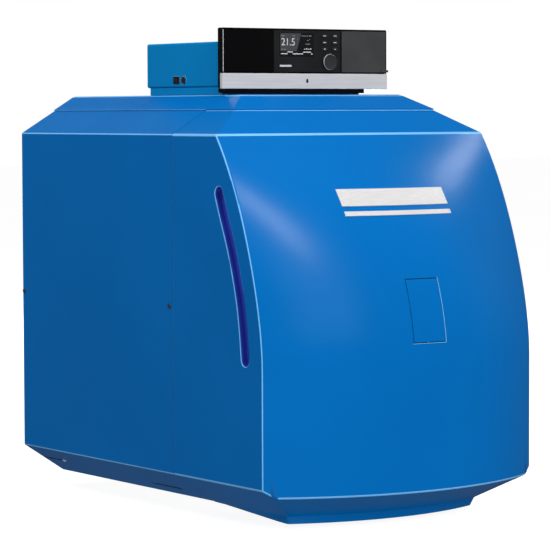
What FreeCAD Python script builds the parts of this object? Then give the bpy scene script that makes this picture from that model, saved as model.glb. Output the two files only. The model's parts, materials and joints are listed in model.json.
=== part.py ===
"""Floor-standing oil boiler: casing, cast block, burner, pull-off burner hood and control unit.

Every physical piece is built in the assembly's own frame and written to parts/NAME.step.
Frame: +Z up from the floor, -Y to the front of the hood, X = 0 in the plane of symmetry.
"""
import FreeCAD, Part
import math
import os
from FreeCAD import Vector

# Driving dimensions, millimetres.
HALF_WIDTH = 300.0
REAR_Y = 440.0
REAR_END_Y = 497.0
SEAM_Y = -117.0
FRONT_Y = -497.0
BASE_HALF_WIDTH = 212.0
BASE_Z = 24.0
SIDE_BOTTOM_Z = 81.0
SIDE_TOP_Z = 700.0
ROOF_HALF_WIDTH = 183.0
ROOF_Z = 768.0
CREASE_X = 226.0
COVER_TOP_Z = 772.0
COVER_SPLIT_Y = 125.0
SHEET = 1.5
GAP = 0.3

HOOD_REAR_Y = SEAM_Y - 1.0
HOOD_WALL = 2.0
HOOD_EDGE_Z = 68.0
HOOD_CORNER_R = 6.0
LIP_Z = 9.0
GRIP_DEPTH = 12.0
FLAP_HALF_WIDTH = 36.0
FLAP_BOTTOM_Z = 332.0
FLAP_TOP_Z = 445.0
FLAP_GAP = 0.8
BADGE_HALF_WIDTH = 118.0
BADGE_BAR_Z = (556.0, 564.0)
BADGE_PLATE_Z = (573.0, 603.0)

FOOT_X = 100.0
FOOT_FRONT_Y = -70.0
FOOT_REAR_Y = 400.0
RAIL_TOP_Z = 110.0

BLOCK_FRONT_Y = -50.0
SECTION_LENGTH = 88.0
SECTION_COUNT = 5
BLOCK_REAR_Y = BLOCK_FRONT_Y + SECTION_LENGTH * SECTION_COUNT
BLOCK_HALF_WIDTH = 190.0
BLOCK_TOP_Z = 650.0
CASTING_WALL = 9.0
CHAMBER_R = 115.0
TUBE_Z = 340.0
PASSAGE_Z = 545.0
PASSAGE_PITCH = 100.0
PASSAGE_WIDTH = 56.0
PASSAGE_HEIGHT = 90.0
LUG_X = 200.0
LUG_LOW_Z = 150.0
LUG_HIGH_Z = 610.0
FLUE_Z = 550.0
FLUE_R = 65.0
FLUE_BORE_R = 61.5
PIPE_R = 16.6
PIPE_BORE_R = 13.0
PIPE_X = -165.0
FLOW_Z = 620.0
RETURN_Z = 160.0
DRAIN_X = 165.0
DRAIN_END_Y = 468.0
DRAIN_STEM_Y = 458.0

DOOR_FRONT_Y = -74.0
FLANGE_FRONT_Y = -84.0
FAN_Y = -215.0
FAN_Z = 300.0
FAN_R = 70.0
VOLUTE_R = 100.0
VOLUTE_HALF_WIDTH = 56.0
BURNER_WALL = 4.0
DUCT_TOP_Z = 400.0
TUBE_R = 50.0
TUBE_END_Y = 75.0
SHAFT_R = 7.0
RUNNING_CLEARANCE = 0.08
AIR_BOX_X = -136.0
PUMP_END_X = -198.0
MOTOR_END_X = 176.0
DAMPER_X = -96.0
DAMPER_Z = 186.0

PANEL_Y = -114.0
BEZEL_REAR_Y = -99.0
PANEL_HALF_WIDTH = 188.0
PANEL_BOTTOM_Z = 783.0
PANEL_TOP_Z = 895.0
LOWER_RAIL_END_X = 135.0
LOWER_RAIL_Z = 775.0
STRIP_TOP_Z = 811.5
POCKET_HALF_WIDTH = 185.0
POCKET_BOTTOM_Z = 814.0
POCKET_TOP_Z = 892.0
POCKET_FLOOR_Y = -103.0
MODULE_LEFT_X = -73.0
MODULE_RIGHT_X = 81.0
HOUSING_HALF_WIDTH = 180.0
HOUSING_REAR_Y = 160.0
HOUSING_BOTTOM_Z = 786.0
HOUSING_TOP_Z = 870.0
PLINTH_RIGHT_X = 132.0
KNOB_X = 51.5
KNOB_Z = 833.5
KNOB_R = 14.4
KNOB_REACH = 5.5
BUTTON_COLUMNS = {"left": 41.0, "right": 65.0}
BUTTON_ROWS = {"top": 882.2, "middle": 869.8, "bottom": 857.4}
BUTTON_WIDTH = 12.0
BUTTON_HEIGHT = 6.0
SWITCH_Y = 55.0
SWITCH_Z = 800.0
ROCKER_TILT = 8.0
FUSE_Y = 29.0
FUSE_Z = 800.0

X_AXIS = Vector(1, 0, 0)
Y_AXIS = Vector(0, 1, 0)
Z_AXIS = Vector(0, 0, 1)
ORIGIN = Vector(0, 0, 0)


def box(x0, x1, y0, y1, z0, z1):
    """Return the block between two opposite corners."""
    return Part.makeBox(x1 - x0, y1 - y0, z1 - z0, Vector(x0, y0, z0))


def rounded_box(x0, x1, y0, y1, z0, z1, radius, along):
    """Return a block whose four edges parallel to one axis are rounded."""
    block = box(x0, x1, y0, y1, z0, z1)
    edges = [edge for edge in block.Edges if abs(edge.tangentAt(edge.FirstParameter).dot(along)) > 0.9]
    return block.makeFillet(radius, edges)


def rod(start, along, radius, length):
    """Return a cylinder that starts at a point and runs along a direction."""
    return Part.makeCylinder(radius, length, start, along)


def tube(start, along, outer, bore, length):
    """Return a straight pipe."""
    return rod(start, along, outer, length).cut(rod(start, along, bore, length))


def mirrored(shape):
    """Return the shape reflected to the other side of X = 0."""
    return shape.mirror(ORIGIN, X_AXIS)


def fused(shapes):
    """Return the shapes joined into one solid."""
    joined = shapes[0].multiFuse(shapes[1:])
    return joined.removeSplitter()


def group(shapes):
    """Return separate solids carried by one node."""
    return Part.makeCompound(shapes)


def rounded_wire(points, radius, closed):
    """Return a polyline whose corners are replaced by tangent arcs."""
    count = len(points)
    corners = range(count) if closed else range(1, count - 1)
    bends = {}
    for index in corners:
        corner = points[index]
        towards_last = (points[index - 1] - corner).normalize()
        towards_next = (points[(index + 1) % count] - corner).normalize()
        half_angle = towards_last.getAngle(towards_next) / 2
        reach = radius / math.tan(half_angle)
        middle = corner + (towards_last + towards_next).normalize() * (radius / math.sin(half_angle) - radius)
        bends[index] = (corner + towards_last * reach, middle, corner + towards_next * reach)
    edges = []
    spans = count if closed else count - 1
    for index in range(spans):
        following = (index + 1) % count
        start = bends[index][2] if index in bends else points[index]
        end = bends[following][0] if following in bends else points[following]
        edges.append(Part.LineSegment(start, end).toShape())
        if following in bends:
            edges.append(Part.Arc(*bends[following]).toShape())
    return Part.Wire(edges)


def folded_sheet(corners, y0, y1, thickness):
    """Return a sheet folded along X-Z corners, its outer face on their line."""
    points = [Vector(x, y0, z) for x, z in corners]
    line = rounded_wire(points, 4.0, False)
    face = line.makeOffset2D(thickness, join=0, fill=True, openResult=True, intersection=False)
    return face.extrude(Vector(0, y1 - y0, 0))


def casing_face(inset, y):
    """Return the casing's cross-section, drawn in by an inset, at one depth."""
    corners = [
        (-BASE_HALF_WIDTH, BASE_Z),
        (-HALF_WIDTH, SIDE_BOTTOM_Z),
        (-HALF_WIDTH, SIDE_TOP_Z),
        (-ROOF_HALF_WIDTH, ROOF_Z),
        (ROOF_HALF_WIDTH, ROOF_Z),
        (HALF_WIDTH, SIDE_TOP_Z),
        (HALF_WIDTH, SIDE_BOTTOM_Z),
        (BASE_HALF_WIDTH, BASE_Z),
    ]
    wire = Part.makePolygon([Vector(x, y, z) for x, z in corners + corners[:1]])
    return Part.Face(wire.makeOffset2D(-inset, join=2))


def base_slot_cutters():
    """Return the cutters of the slots and the small hole in the base's sloping sides."""
    slope = Vector(SIDE_BOTTOM_Z - BASE_Z, 0, HALF_WIDTH - BASE_HALF_WIDTH).normalize()
    cutters = []
    for low_y, high_y, x in ((355.0, 434.0, -260.0), (-49.0, 55.0, -240.0)):
        z = BASE_Z + (SIDE_BOTTOM_Z - BASE_Z) * (-x - BASE_HALF_WIDTH) / (HALF_WIDTH - BASE_HALF_WIDTH)
        outside = Vector(x, 0, z) - slope * 15
        ends = [Vector(outside.x, y, outside.z) for y in (low_y + 4, high_y - 4)]
        cutters += [rod(end, slope, 4.0, 30.0) for end in ends]
        middle = Part.makeBox(8, high_y - low_y - 8, 30, Vector(-4, 0, 0))
        middle.Placement = FreeCAD.Placement(ends[0], FreeCAD.Rotation(Z_AXIS, slope))
        cutters.append(middle)
    cutters.append(rod(Vector(-260, 350, 55) - slope * 15, slope, 2.5, 30.0))
    return group(cutters + [mirrored(cutter) for cutter in cutters])


def casing_parts():
    """Return the sheet-metal casing, its base and its screws."""
    side_corners = [
        (-BASE_HALF_WIDTH, BASE_Z),
        (-HALF_WIDTH, SIDE_BOTTOM_Z),
        (-HALF_WIDTH, SIDE_TOP_Z),
        (-CREASE_X + 10, 748.8),
    ]
    side = folded_sheet(side_corners, SEAM_Y, REAR_Y, -SHEET)
    slots = base_slot_cutters()
    side = side.cut(slots)
    screw_places = [Vector(-HALF_WIDTH, y, 388) for y in (SEAM_Y + 11, REAR_Y - 6)]
    for place in screw_places:
        side = side.cut(rod(place - X_AXIS, X_AXIS, 2.6, 6.0))
    screw_places += [Vector(-place.x, place.y, place.z) for place in screw_places]
    screws = []
    for place in screw_places:
        inward = Vector(-1 if place.x > 0 else 1, 0, 0)
        shank = rod(place, inward, 2.5, 12.0)
        head = rod(place - inward * 1.8, inward, 4.6, 1.8)
        screws.append(fused([shank, head]).cut(rod(place - inward * 1.8, inward, 1.5, 1.0)))

    pan = casing_face(SHEET + GAP, SEAM_Y + 5).cut(casing_face(SHEET + GAP + 2, SEAM_Y + 5))
    pan = pan.extrude(Vector(0, REAR_Y - SEAM_Y - 8, 0))
    pan = pan.common(box(-HALF_WIDTH, HALF_WIDTH, SEAM_Y, REAR_Y, 0, 60)).cut(slots)
    pan_floor_z = BASE_Z + SHEET + GAP + 2
    rails = []
    for x in (-FOOT_X, FOOT_X):
        rail = box(x - 20, x + 20, FOOT_FRONT_Y - 20, FOOT_REAR_Y + 20, pan_floor_z, RAIL_TOP_Z)
        hollow = box(x - 17, x + 17, FOOT_FRONT_Y - 20, FOOT_REAR_Y + 20, pan_floor_z + 3, RAIL_TOP_Z - 3)
        rails.append(rail.cut(hollow))
    base = fused([pan] + rails)
    feet = []
    for x in (-FOOT_X, FOOT_X):
        for y in (FOOT_FRONT_Y, FOOT_REAR_Y):
            base = base.cut(rod(Vector(x, y, 0), Z_AXIS, 5.2, 60.0))
            pad = Part.makeCone(16, 12, 10, Vector(x, y, 0), Z_AXIS)
            stud = rod(Vector(x, y, 10), Z_AXIS, 5.0, 50.0)
            nut = rod(Vector(x, y, 12), Z_AXIS, 9.0, 8.0)
            feet.append(fused([pad, stud, nut]))

    rear = casing_face(SHEET + GAP, REAR_Y - SHEET).extrude(Vector(0, SHEET, 0))
    rear = rear.cut(rod(Vector(0, REAR_Y - 5, FLUE_Z), Y_AXIS, FLUE_R + 3, 10))
    for x, z in ((PIPE_X, FLOW_Z), (PIPE_X, RETURN_Z), (DRAIN_X, RETURN_Z)):
        rear = rear.cut(rod(Vector(x, REAR_Y - 5, z), Y_AXIS, PIPE_R + 3, 10))
    for row in range(6):
        z = 250 + row * 22
        rear = rear.cut(box(-110, 110, REAR_Y - 5, REAR_Y + 5, z, z + 6))

    frame = casing_face(SHEET + GAP, SEAM_Y + 16).extrude(Vector(0, SHEET, 0))
    frame = frame.cut(box(-185, 185, SEAM_Y, 0, 150, 570)).cut(base)

    cover_corners = [
        (-CREASE_X - 1, 744.9),
        (-ROOF_HALF_WIDTH - 1, 769.9),
        (-ROOF_HALF_WIDTH + 5, COVER_TOP_Z),
        (ROOF_HALF_WIDTH - 5, COVER_TOP_Z),
        (ROOF_HALF_WIDTH + 1, 769.9),
        (CREASE_X + 1, 744.9),
    ]
    front_cover = folded_cover(cover_corners, SEAM_Y, COVER_SPLIT_Y - 0.5)
    rear_cover = folded_cover(cover_corners, COVER_SPLIT_Y + 0.5, REAR_Y)
    return {
        "left_side_panel": side,
        "right_side_panel": mirrored(side),
        "base_tray": base,
        "levelling_feet": group(feet),
        "rear_panel": rear,
        "inner_front_frame": frame,
        "front_top_cover": front_cover,
        "rear_top_cover": rear_cover,
        "casing_screws": group(screws),
    }


def folded_cover(corners, y0, y1):
    """Return a roof cover: a sharp-folded sheet under the given X-Z outer line."""
    lower = [(x, z - SHEET * 1.2) for x, z in reversed(corners)]
    outline = [Vector(x, y0, z) for x, z in corners + lower]
    return Part.Face(Part.makePolygon(outline + outline[:1])).extrude(Vector(0, y1 - y0, 0))


def block_parts():
    """Return the cast heat exchanger, its door, rods, jacket and rear connections."""
    def outline(inset, y0, y1):
        block = rounded_box(-BLOCK_HALF_WIDTH + inset, BLOCK_HALF_WIDTH - inset, y0, y1,
                            RAIL_TOP_Z + inset, BLOCK_TOP_Z - inset, 40 - inset, Y_AXIS)
        return block

    def passages(grow, y0, y1):
        slots = []
        for column in (-1, 0, 1):
            x = column * PASSAGE_PITCH
            slots.append(rounded_box(x - PASSAGE_WIDTH / 2 - grow, x + PASSAGE_WIDTH / 2 + grow, y0, y1,
                                     PASSAGE_Z - PASSAGE_HEIGHT / 2 - grow,
                                     PASSAGE_Z + PASSAGE_HEIGHT / 2 + grow, 20 + grow, Y_AXIS))
        return slots

    def section(y0, chamber, flues):
        y1 = y0 + SECTION_LENGTH
        lugs = []
        for x in (-LUG_X, LUG_X):
            for z in (LUG_LOW_Z, LUG_HIGH_Z):
                lug = box(min(x, 0.93 * x), max(x, 0.93 * x), y0, y1, z - 12, z + 12)
                lugs.append(lug.fuse(rod(Vector(x, y0, z), Y_AXIS, 12, SECTION_LENGTH)))
        casting = fused([outline(0, y0, y1)] + lugs)
        water = outline(CASTING_WALL, y0 + CASTING_WALL, y1 - CASTING_WALL)
        chamber_y = y0 - 1
        chamber_length = SECTION_LENGTH + 2 if chamber != "blind" else SECTION_LENGTH - 19
        bore = rod(Vector(0, chamber_y, TUBE_Z), Y_AXIS, CHAMBER_R, chamber_length)
        jacket_length = chamber_length + CASTING_WALL
        jacket = rod(Vector(0, chamber_y, TUBE_Z), Y_AXIS, CHAMBER_R + CASTING_WALL, jacket_length)
        flue_start = y0 - 1 if flues != "blind" else y0 + 20
        water = water.cut(jacket)
        for slot in passages(CASTING_WALL, flue_start - CASTING_WALL, y1 + 1):
            water = water.cut(slot)
        casting = casting.cut(water).cut(bore)
        for slot in passages(0, flue_start, y1 + 1):
            casting = casting.cut(slot)
        for x in (-LUG_X, LUG_X):
            for z in (LUG_LOW_Z, LUG_HIGH_Z):
                casting = casting.cut(rod(Vector(x, y0, z), Y_AXIS, 6.5, SECTION_LENGTH))
        return casting

    front = section(BLOCK_FRONT_Y, "open", "blind")
    middles = [section(BLOCK_FRONT_Y + SECTION_LENGTH * index, "open", "open") for index in (1, 2, 3)]
    rear = section(BLOCK_FRONT_Y + SECTION_LENGTH * 4, "blind", "open")

    rods = []
    for x in (-LUG_X, LUG_X):
        for z in (LUG_LOW_Z, LUG_HIGH_Z):
            bar = rod(Vector(x, BLOCK_FRONT_Y - 14, z), Y_AXIS, 6, BLOCK_REAR_Y - BLOCK_FRONT_Y + 28)
            nuts = [hexagon(Vector(x, y, z), Y_AXIS, 10, 9) for y in (BLOCK_FRONT_Y - 9, BLOCK_REAR_Y)]
            rods.append(fused([bar] + nuts))

    jacket = rounded_box(-250, 250, BLOCK_FRONT_Y + 2, BLOCK_REAR_Y - 2, 116, 690, 60, Y_AXIS)
    jacket = jacket.cut(box(-214, 214, BLOCK_FRONT_Y, BLOCK_REAR_Y, 100, BLOCK_TOP_Z + 4))

    door = rounded_box(-165, 165, DOOR_FRONT_Y, BLOCK_FRONT_Y, 175, 505, 25, Y_AXIS)
    rib = tube(Vector(0, DOOR_FRONT_Y - 6, TUBE_Z), Y_AXIS, 140, 132, 8)
    door = fused([door, rib]).cut(rod(Vector(0, DOOR_FRONT_Y - 10, TUBE_Z), Y_AXIS, 56, 50))
    flange = rounded_box(-85, 85, FLANGE_FRONT_Y, DOOR_FRONT_Y, TUBE_Z - 85, TUBE_Z + 85, 18, Y_AXIS)
    flange = flange.cut(rod(Vector(0, FLANGE_FRONT_Y, TUBE_Z), Y_AXIS, TUBE_R + 0.1, 20))
    bolts = []
    for reach, seat_y in ((147.0, DOOR_FRONT_Y), (72.0, FLANGE_FRONT_Y)):
        for x in (-reach, reach):
            for z in (TUBE_Z - reach, TUBE_Z + reach):
                shank = rod(Vector(x, seat_y, z), Y_AXIS, 5.0, 40.0)
                clearance = rod(Vector(x, seat_y - 1, z), Y_AXIS, 5.1, 41.5)
                head = hexagon(Vector(x, seat_y - 7, z), Y_AXIS, 8.5, 7)
                bolts.append(fused([shank, head]))
                door = door.cut(clearance)
                flange = flange.cut(clearance)
                front = front.cut(clearance)

    collector = rounded_box(-140, 140, BLOCK_REAR_Y, BLOCK_REAR_Y + 34, 480, 620, 20, Y_AXIS)
    collector = collector.cut(rounded_box(-136, 136, BLOCK_REAR_Y, BLOCK_REAR_Y + 30, 484, 616, 18, Y_AXIS))
    spigot = rod(Vector(0, BLOCK_REAR_Y + 30, FLUE_Z), Y_AXIS, FLUE_R, REAR_END_Y - BLOCK_REAR_Y - 30)
    bore = rod(Vector(0, BLOCK_REAR_Y + 29, FLUE_Z), Y_AXIS, FLUE_BORE_R, REAR_END_Y - BLOCK_REAR_Y)
    flue = fused([collector, spigot]).cut(bore)
    pipes = [tube(Vector(PIPE_X, BLOCK_REAR_Y, z), Y_AXIS, PIPE_R, PIPE_BORE_R, 85) for z in (FLOW_Z, RETURN_Z)]

    cock = rod(Vector(DRAIN_X, BLOCK_REAR_Y, RETURN_Z), Y_AXIS, 11, DRAIN_END_Y - BLOCK_REAR_Y)
    cock = cock.fuse(rod(Vector(DRAIN_X, DRAIN_STEM_Y, RETURN_Z), Z_AXIS, 8, 16))
    cock = cock.cut(rod(Vector(DRAIN_X, DRAIN_END_Y - 14, RETURN_Z), Y_AXIS, 6.5, 15))
    cock = cock.cut(rod(Vector(DRAIN_X, DRAIN_STEM_Y, RETURN_Z + 8), Z_AXIS, 3.0 + RUNNING_CLEARANCE, 12))
    stem = rod(Vector(DRAIN_X, DRAIN_STEM_Y, RETURN_Z + 9), Z_AXIS, 3.0, 12)
    lever = rounded_box(DRAIN_X - 6, DRAIN_X + 42, DRAIN_STEM_Y - 6, DRAIN_STEM_Y + 6,
                        RETURN_Z + 17, RETURN_Z + 21, 5.5, Z_AXIS)
    return {
        "front_section": front,
        "middle_sections": group(middles),
        "rear_section": rear,
        "tie_rods": group(rods),
        "block_insulation": jacket,
        "burner_door": door,
        "burner_flange": flange,
        "fixing_bolts": group(bolts),
        "flue_collector": flue,
        "water_pipes": group(pipes),
        "drain_cock": cock,
        "drain_lever": fused([stem, lever]),
    }


def hexagon(start, along, radius, length):
    """Return a hexagonal head or nut with the given corner radius."""
    side = Vector(1, 0, 0) if abs(along.x) < 0.5 else Vector(0, 1, 0)
    points = []
    for step in range(7):
        turn = FreeCAD.Rotation(along, 60 * step)
        points.append(start + turn.multVec(side * radius))
    return Part.Face(Part.makePolygon(points)).extrude(along * length)


def burner_parts():
    """Return the oil burner that stands on the door inside the hood."""
    half = VOLUTE_HALF_WIDTH
    wall = BURNER_WALL

    def drum(radius, x0, x1):
        return rod(Vector(x0, FAN_Y, FAN_Z), X_AXIS, radius, x1 - x0)

    duct = rounded_box(-half, half, FAN_Y - 15, FLANGE_FRONT_Y, 275, DUCT_TOP_Z, 12, Y_AXIS)
    duct_bore = box(-half + wall, half - wall, FAN_Y - 15, FLANGE_FRONT_Y - 6, 280, DUCT_TOP_Z - wall)
    housing = fused([drum(VOLUTE_R, -half, half), duct])
    housing = housing.cut(drum(VOLUTE_R - wall, -half + wall, half - wall)).cut(duct_bore)
    housing = housing.cut(rod(Vector(0, FLANGE_FRONT_Y - 10, TUBE_Z), Y_AXIS, 47.5, 20))
    housing = housing.cut(drum(60, -half, 0)).cut(drum(SHAFT_R + 6, 0, half))
    housing = housing.cut(rod(Vector(0, -125, 380), Z_AXIS, 7.1, 40))
    housing = housing.cut(rod(Vector(-35, -110, 380), Z_AXIS, 8.1, 40))

    blast_tube = tube(Vector(0, FLANGE_FRONT_Y, TUBE_Z), Y_AXIS, TUBE_R, 47.5, TUBE_END_Y - FLANGE_FRONT_Y)
    line = fused([
        rod(Vector(0, -130, TUBE_Z), Y_AXIS, 7, 150),
        rod(Vector(0, -125, TUBE_Z), Z_AXIS, 7, 72),
        hexagon(Vector(0, 24, TUBE_Z), Y_AXIS, 9, 10),
        Part.makeCone(7, 4, 8, Vector(0, 34, TUBE_Z), Y_AXIS),
        rod(Vector(0, 19, TUBE_Z), Y_AXIS, 6, 6),
    ])
    disc = tube(Vector(0, 40, TUBE_Z), Y_AXIS, 44, 14, 2)
    for step in range(8):
        slot = box(-1.2, 1.2, 39, 43, TUBE_Z + 20, TUBE_Z + 38)
        slot.rotate(Vector(0, 0, TUBE_Z), Y_AXIS, 45 * step + 10)
        disc = disc.cut(slot)
    spokes = []
    for step in range(3):
        spoke = box(-1.5, 1.5, 36, 40, TUBE_Z + 8, TUBE_Z + 24)
        spoke.rotate(Vector(0, 0, TUBE_Z), Y_AXIS, 120 * step)
        spokes.append(spoke)
    disc = fused([disc] + spokes).cut(line)
    electrodes = []
    for x in (-16.0, 16.0):
        ceramic = rod(Vector(x, -110, TUBE_Z + 14), Y_AXIS, 4, 130)
        tip = rod(Vector(x, 20, TUBE_Z + 14), Y_AXIS, 1.2, 32)
        electrodes.append(fused([ceramic, tip]))
        disc = disc.cut(rod(Vector(x, 30, TUBE_Z + 14), Y_AXIS, 2.0, 20))

    transformer = rounded_box(half, half + 60, -190, -95, 356, 426, 4, X_AXIS)
    control_box = rounded_box(-48, 48, FAN_Y - 13, -150, DUCT_TOP_Z, DUCT_TOP_Z + 70, 5, Z_AXIS)
    control_box = control_box.cut(rod(Vector(0, FAN_Y - 14, DUCT_TOP_Z + 40), Y_AXIS, 9.4, 12))
    reset = fused([
        rod(Vector(0, FAN_Y - 17, DUCT_TOP_Z + 40), Y_AXIS, 9, 9),
        rod(Vector(0, FAN_Y - 18, DUCT_TOP_Z + 40), Y_AXIS, 7.5, 2),
    ])
    sensor = fused([
        rod(Vector(-35, -110, 390), Z_AXIS, 8, 26),
        rod(Vector(-35, -110, 402), Z_AXIS, 11, 6),
    ])

    motor = fused([drum(48, half, MOTOR_END_X - 12), drum(42, MOTOR_END_X - 12, MOTOR_END_X)])
    for step in range(12):
        fin = box(half + 14, MOTOR_END_X - 20, FAN_Y + 46, FAN_Y + 52, FAN_Z - 1.2, FAN_Z + 1.2)
        fin.rotate(Vector(0, FAN_Y, FAN_Z), X_AXIS, 30 * step + 15)
        motor = motor.fuse(fin)
    motor = motor.fuse(rounded_box(half + 20, half + 84, FAN_Y - 76, FAN_Y - 44, FAN_Z - 22, FAN_Z + 22, 5, X_AXIS))
    motor = motor.cut(drum(SHAFT_R + RUNNING_CLEARANCE, half - 1, MOTOR_END_X - 8))

    shaft = fused([drum(SHAFT_R, -180, MOTOR_END_X - 10), drum(11, -112, -72)])
    hub = drum(15, 12, 33)
    back_disc = drum(FAN_R, 30, 33)
    front_ring = drum(FAN_R, -44, -41).cut(drum(FAN_R - 12, -45, -40))
    wheel_pieces = [hub, back_disc, front_ring]
    for step in range(24):
        blade = box(-42, 31, -0.8, 0.8, FAN_R - 14, FAN_R - 0.6)
        blade.rotate(Vector(0, 0, FAN_R - 7), X_AXIS, 25)
        blade.rotate(ORIGIN, X_AXIS, 15 * step)
        blade.translate(Vector(0, FAN_Y, FAN_Z))
        wheel_pieces.append(blade)
    wheel = fused(wheel_pieces).cut(drum(SHAFT_R, -50, 50))

    air_y0, air_y1, air_z0, air_z1 = FAN_Y - 90, FAN_Y + 90, 180.0, DUCT_TOP_Z
    air_box = rounded_box(AIR_BOX_X, -half, air_y0, air_y1, air_z0, air_z1, 8, X_AXIS)
    air_box = air_box.cut(box(AIR_BOX_X + 3, -half - 3, air_y0 + 3, air_y1 - 3, air_z0 + 3, air_z1 - 3))
    air_box = air_box.cut(drum(60, -half - 4, -half)).cut(drum(14, AIR_BOX_X, AIR_BOX_X + 4))
    air_box = air_box.cut(box(DAMPER_X - 30, DAMPER_X + 30, air_y0 + 15, air_y1 - 15, air_z0, air_z0 + 4))
    pin_bore = rod(Vector(DAMPER_X, air_y0 - 1, DAMPER_Z), Y_AXIS, 2.5 + RUNNING_CLEARANCE, air_y1 - air_y0 + 2)
    air_box = air_box.cut(pin_bore)
    damper = fused([
        box(DAMPER_X - 28, DAMPER_X + 28, air_y0 + 17, air_y1 - 17, DAMPER_Z - 1, DAMPER_Z + 1),
        rod(Vector(DAMPER_X, air_y0 - 8, DAMPER_Z), Y_AXIS, 2.5, air_y1 - air_y0 + 10),
        box(DAMPER_X - 4, DAMPER_X + 4, air_y0 - 7, air_y0 - 4, DAMPER_Z, DAMPER_Z + 42),
    ])

    pump = fused([
        drum(34, AIR_BOX_X - 6, AIR_BOX_X),
        drum(26, PUMP_END_X, AIR_BOX_X - 6),
        rod(Vector(-168, FAN_Y, FAN_Z + 20), Z_AXIS, 9, 24),
        rod(Vector(-182, FAN_Y, FAN_Z - 36), Z_AXIS, 7, 20),
        rod(Vector(-156, FAN_Y, FAN_Z - 36), Z_AXIS, 7, 20),
        rounded_box(-184, -152, FAN_Y - 52, FAN_Y - 20, FAN_Z - 16, FAN_Z + 16, 3, X_AXIS),
    ])
    pump = pump.cut(drum(SHAFT_R + RUNNING_CLEARANCE, -183, AIR_BOX_X + 1))
    path = rounded_wire([
        Vector(-168, FAN_Y, FAN_Z + 44),
        Vector(-168, FAN_Y, 430),
        Vector(-168, -125, 430),
        Vector(0, -125, 430),
        Vector(0, -125, 412),
    ], 12.0, False)
    profile = Part.Wire(Part.Circle(Vector(-168, FAN_Y, FAN_Z + 44), Z_AXIS, 2.5).toShape())
    oil_pipe = path.makePipeShell([profile], True, True)
    return {
        "burner_housing": housing,
        "blast_tube": blast_tube,
        "nozzle_line": line,
        "mixing_disc": disc,
        "ignition_electrodes": group(electrodes),
        "ignition_transformer": transformer,
        "burner_control_box": control_box,
        "reset_button": reset,
        "flame_sensor": sensor,
        "burner_motor": motor,
        "motor_shaft": shaft,
        "fan_wheel": wheel,
        "air_box": air_box,
        "air_damper": damper,
        "oil_pump": pump,
        "oil_pipe": oil_pipe,
    }


def hood_outline(z, half_width, corner_y, centre_y, rear_y):
    """Return the hood's plan outline at one height: straight sides and an arched front."""
    sagitta = corner_y - centre_y
    radius = (half_width ** 2 + sagitta ** 2) / (2 * sagitta)
    centre = Vector(0, centre_y + radius, z)
    fillet = HOOD_CORNER_R
    along = math.asin((half_width - fillet) / (radius - fillet))
    fillet_centre = centre + Vector(math.sin(along), -math.cos(along), 0) * (radius - fillet)
    side_point = Vector(half_width, fillet_centre.y, z)
    arch_point = centre + Vector(math.sin(along), -math.cos(along), 0) * radius
    turn = (math.pi / 2 - along) / 2
    corner_mid = fillet_centre + Vector(math.cos(turn), -math.sin(turn), 0) * fillet

    def left(point):
        return Vector(-point.x, point.y, point.z)

    rear = Vector(half_width, rear_y, z)
    return Part.Wire([
        Part.LineSegment(left(rear), left(side_point)).toShape(),
        Part.Arc(left(side_point), left(corner_mid), left(arch_point)).toShape(),
        Part.Arc(left(arch_point), Vector(0, centre_y, z), arch_point).toShape(),
        Part.Arc(arch_point, corner_mid, side_point).toShape(),
        Part.LineSegment(side_point, rear).toShape(),
        Part.LineSegment(rear, left(rear)).toShape(),
    ])


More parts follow.
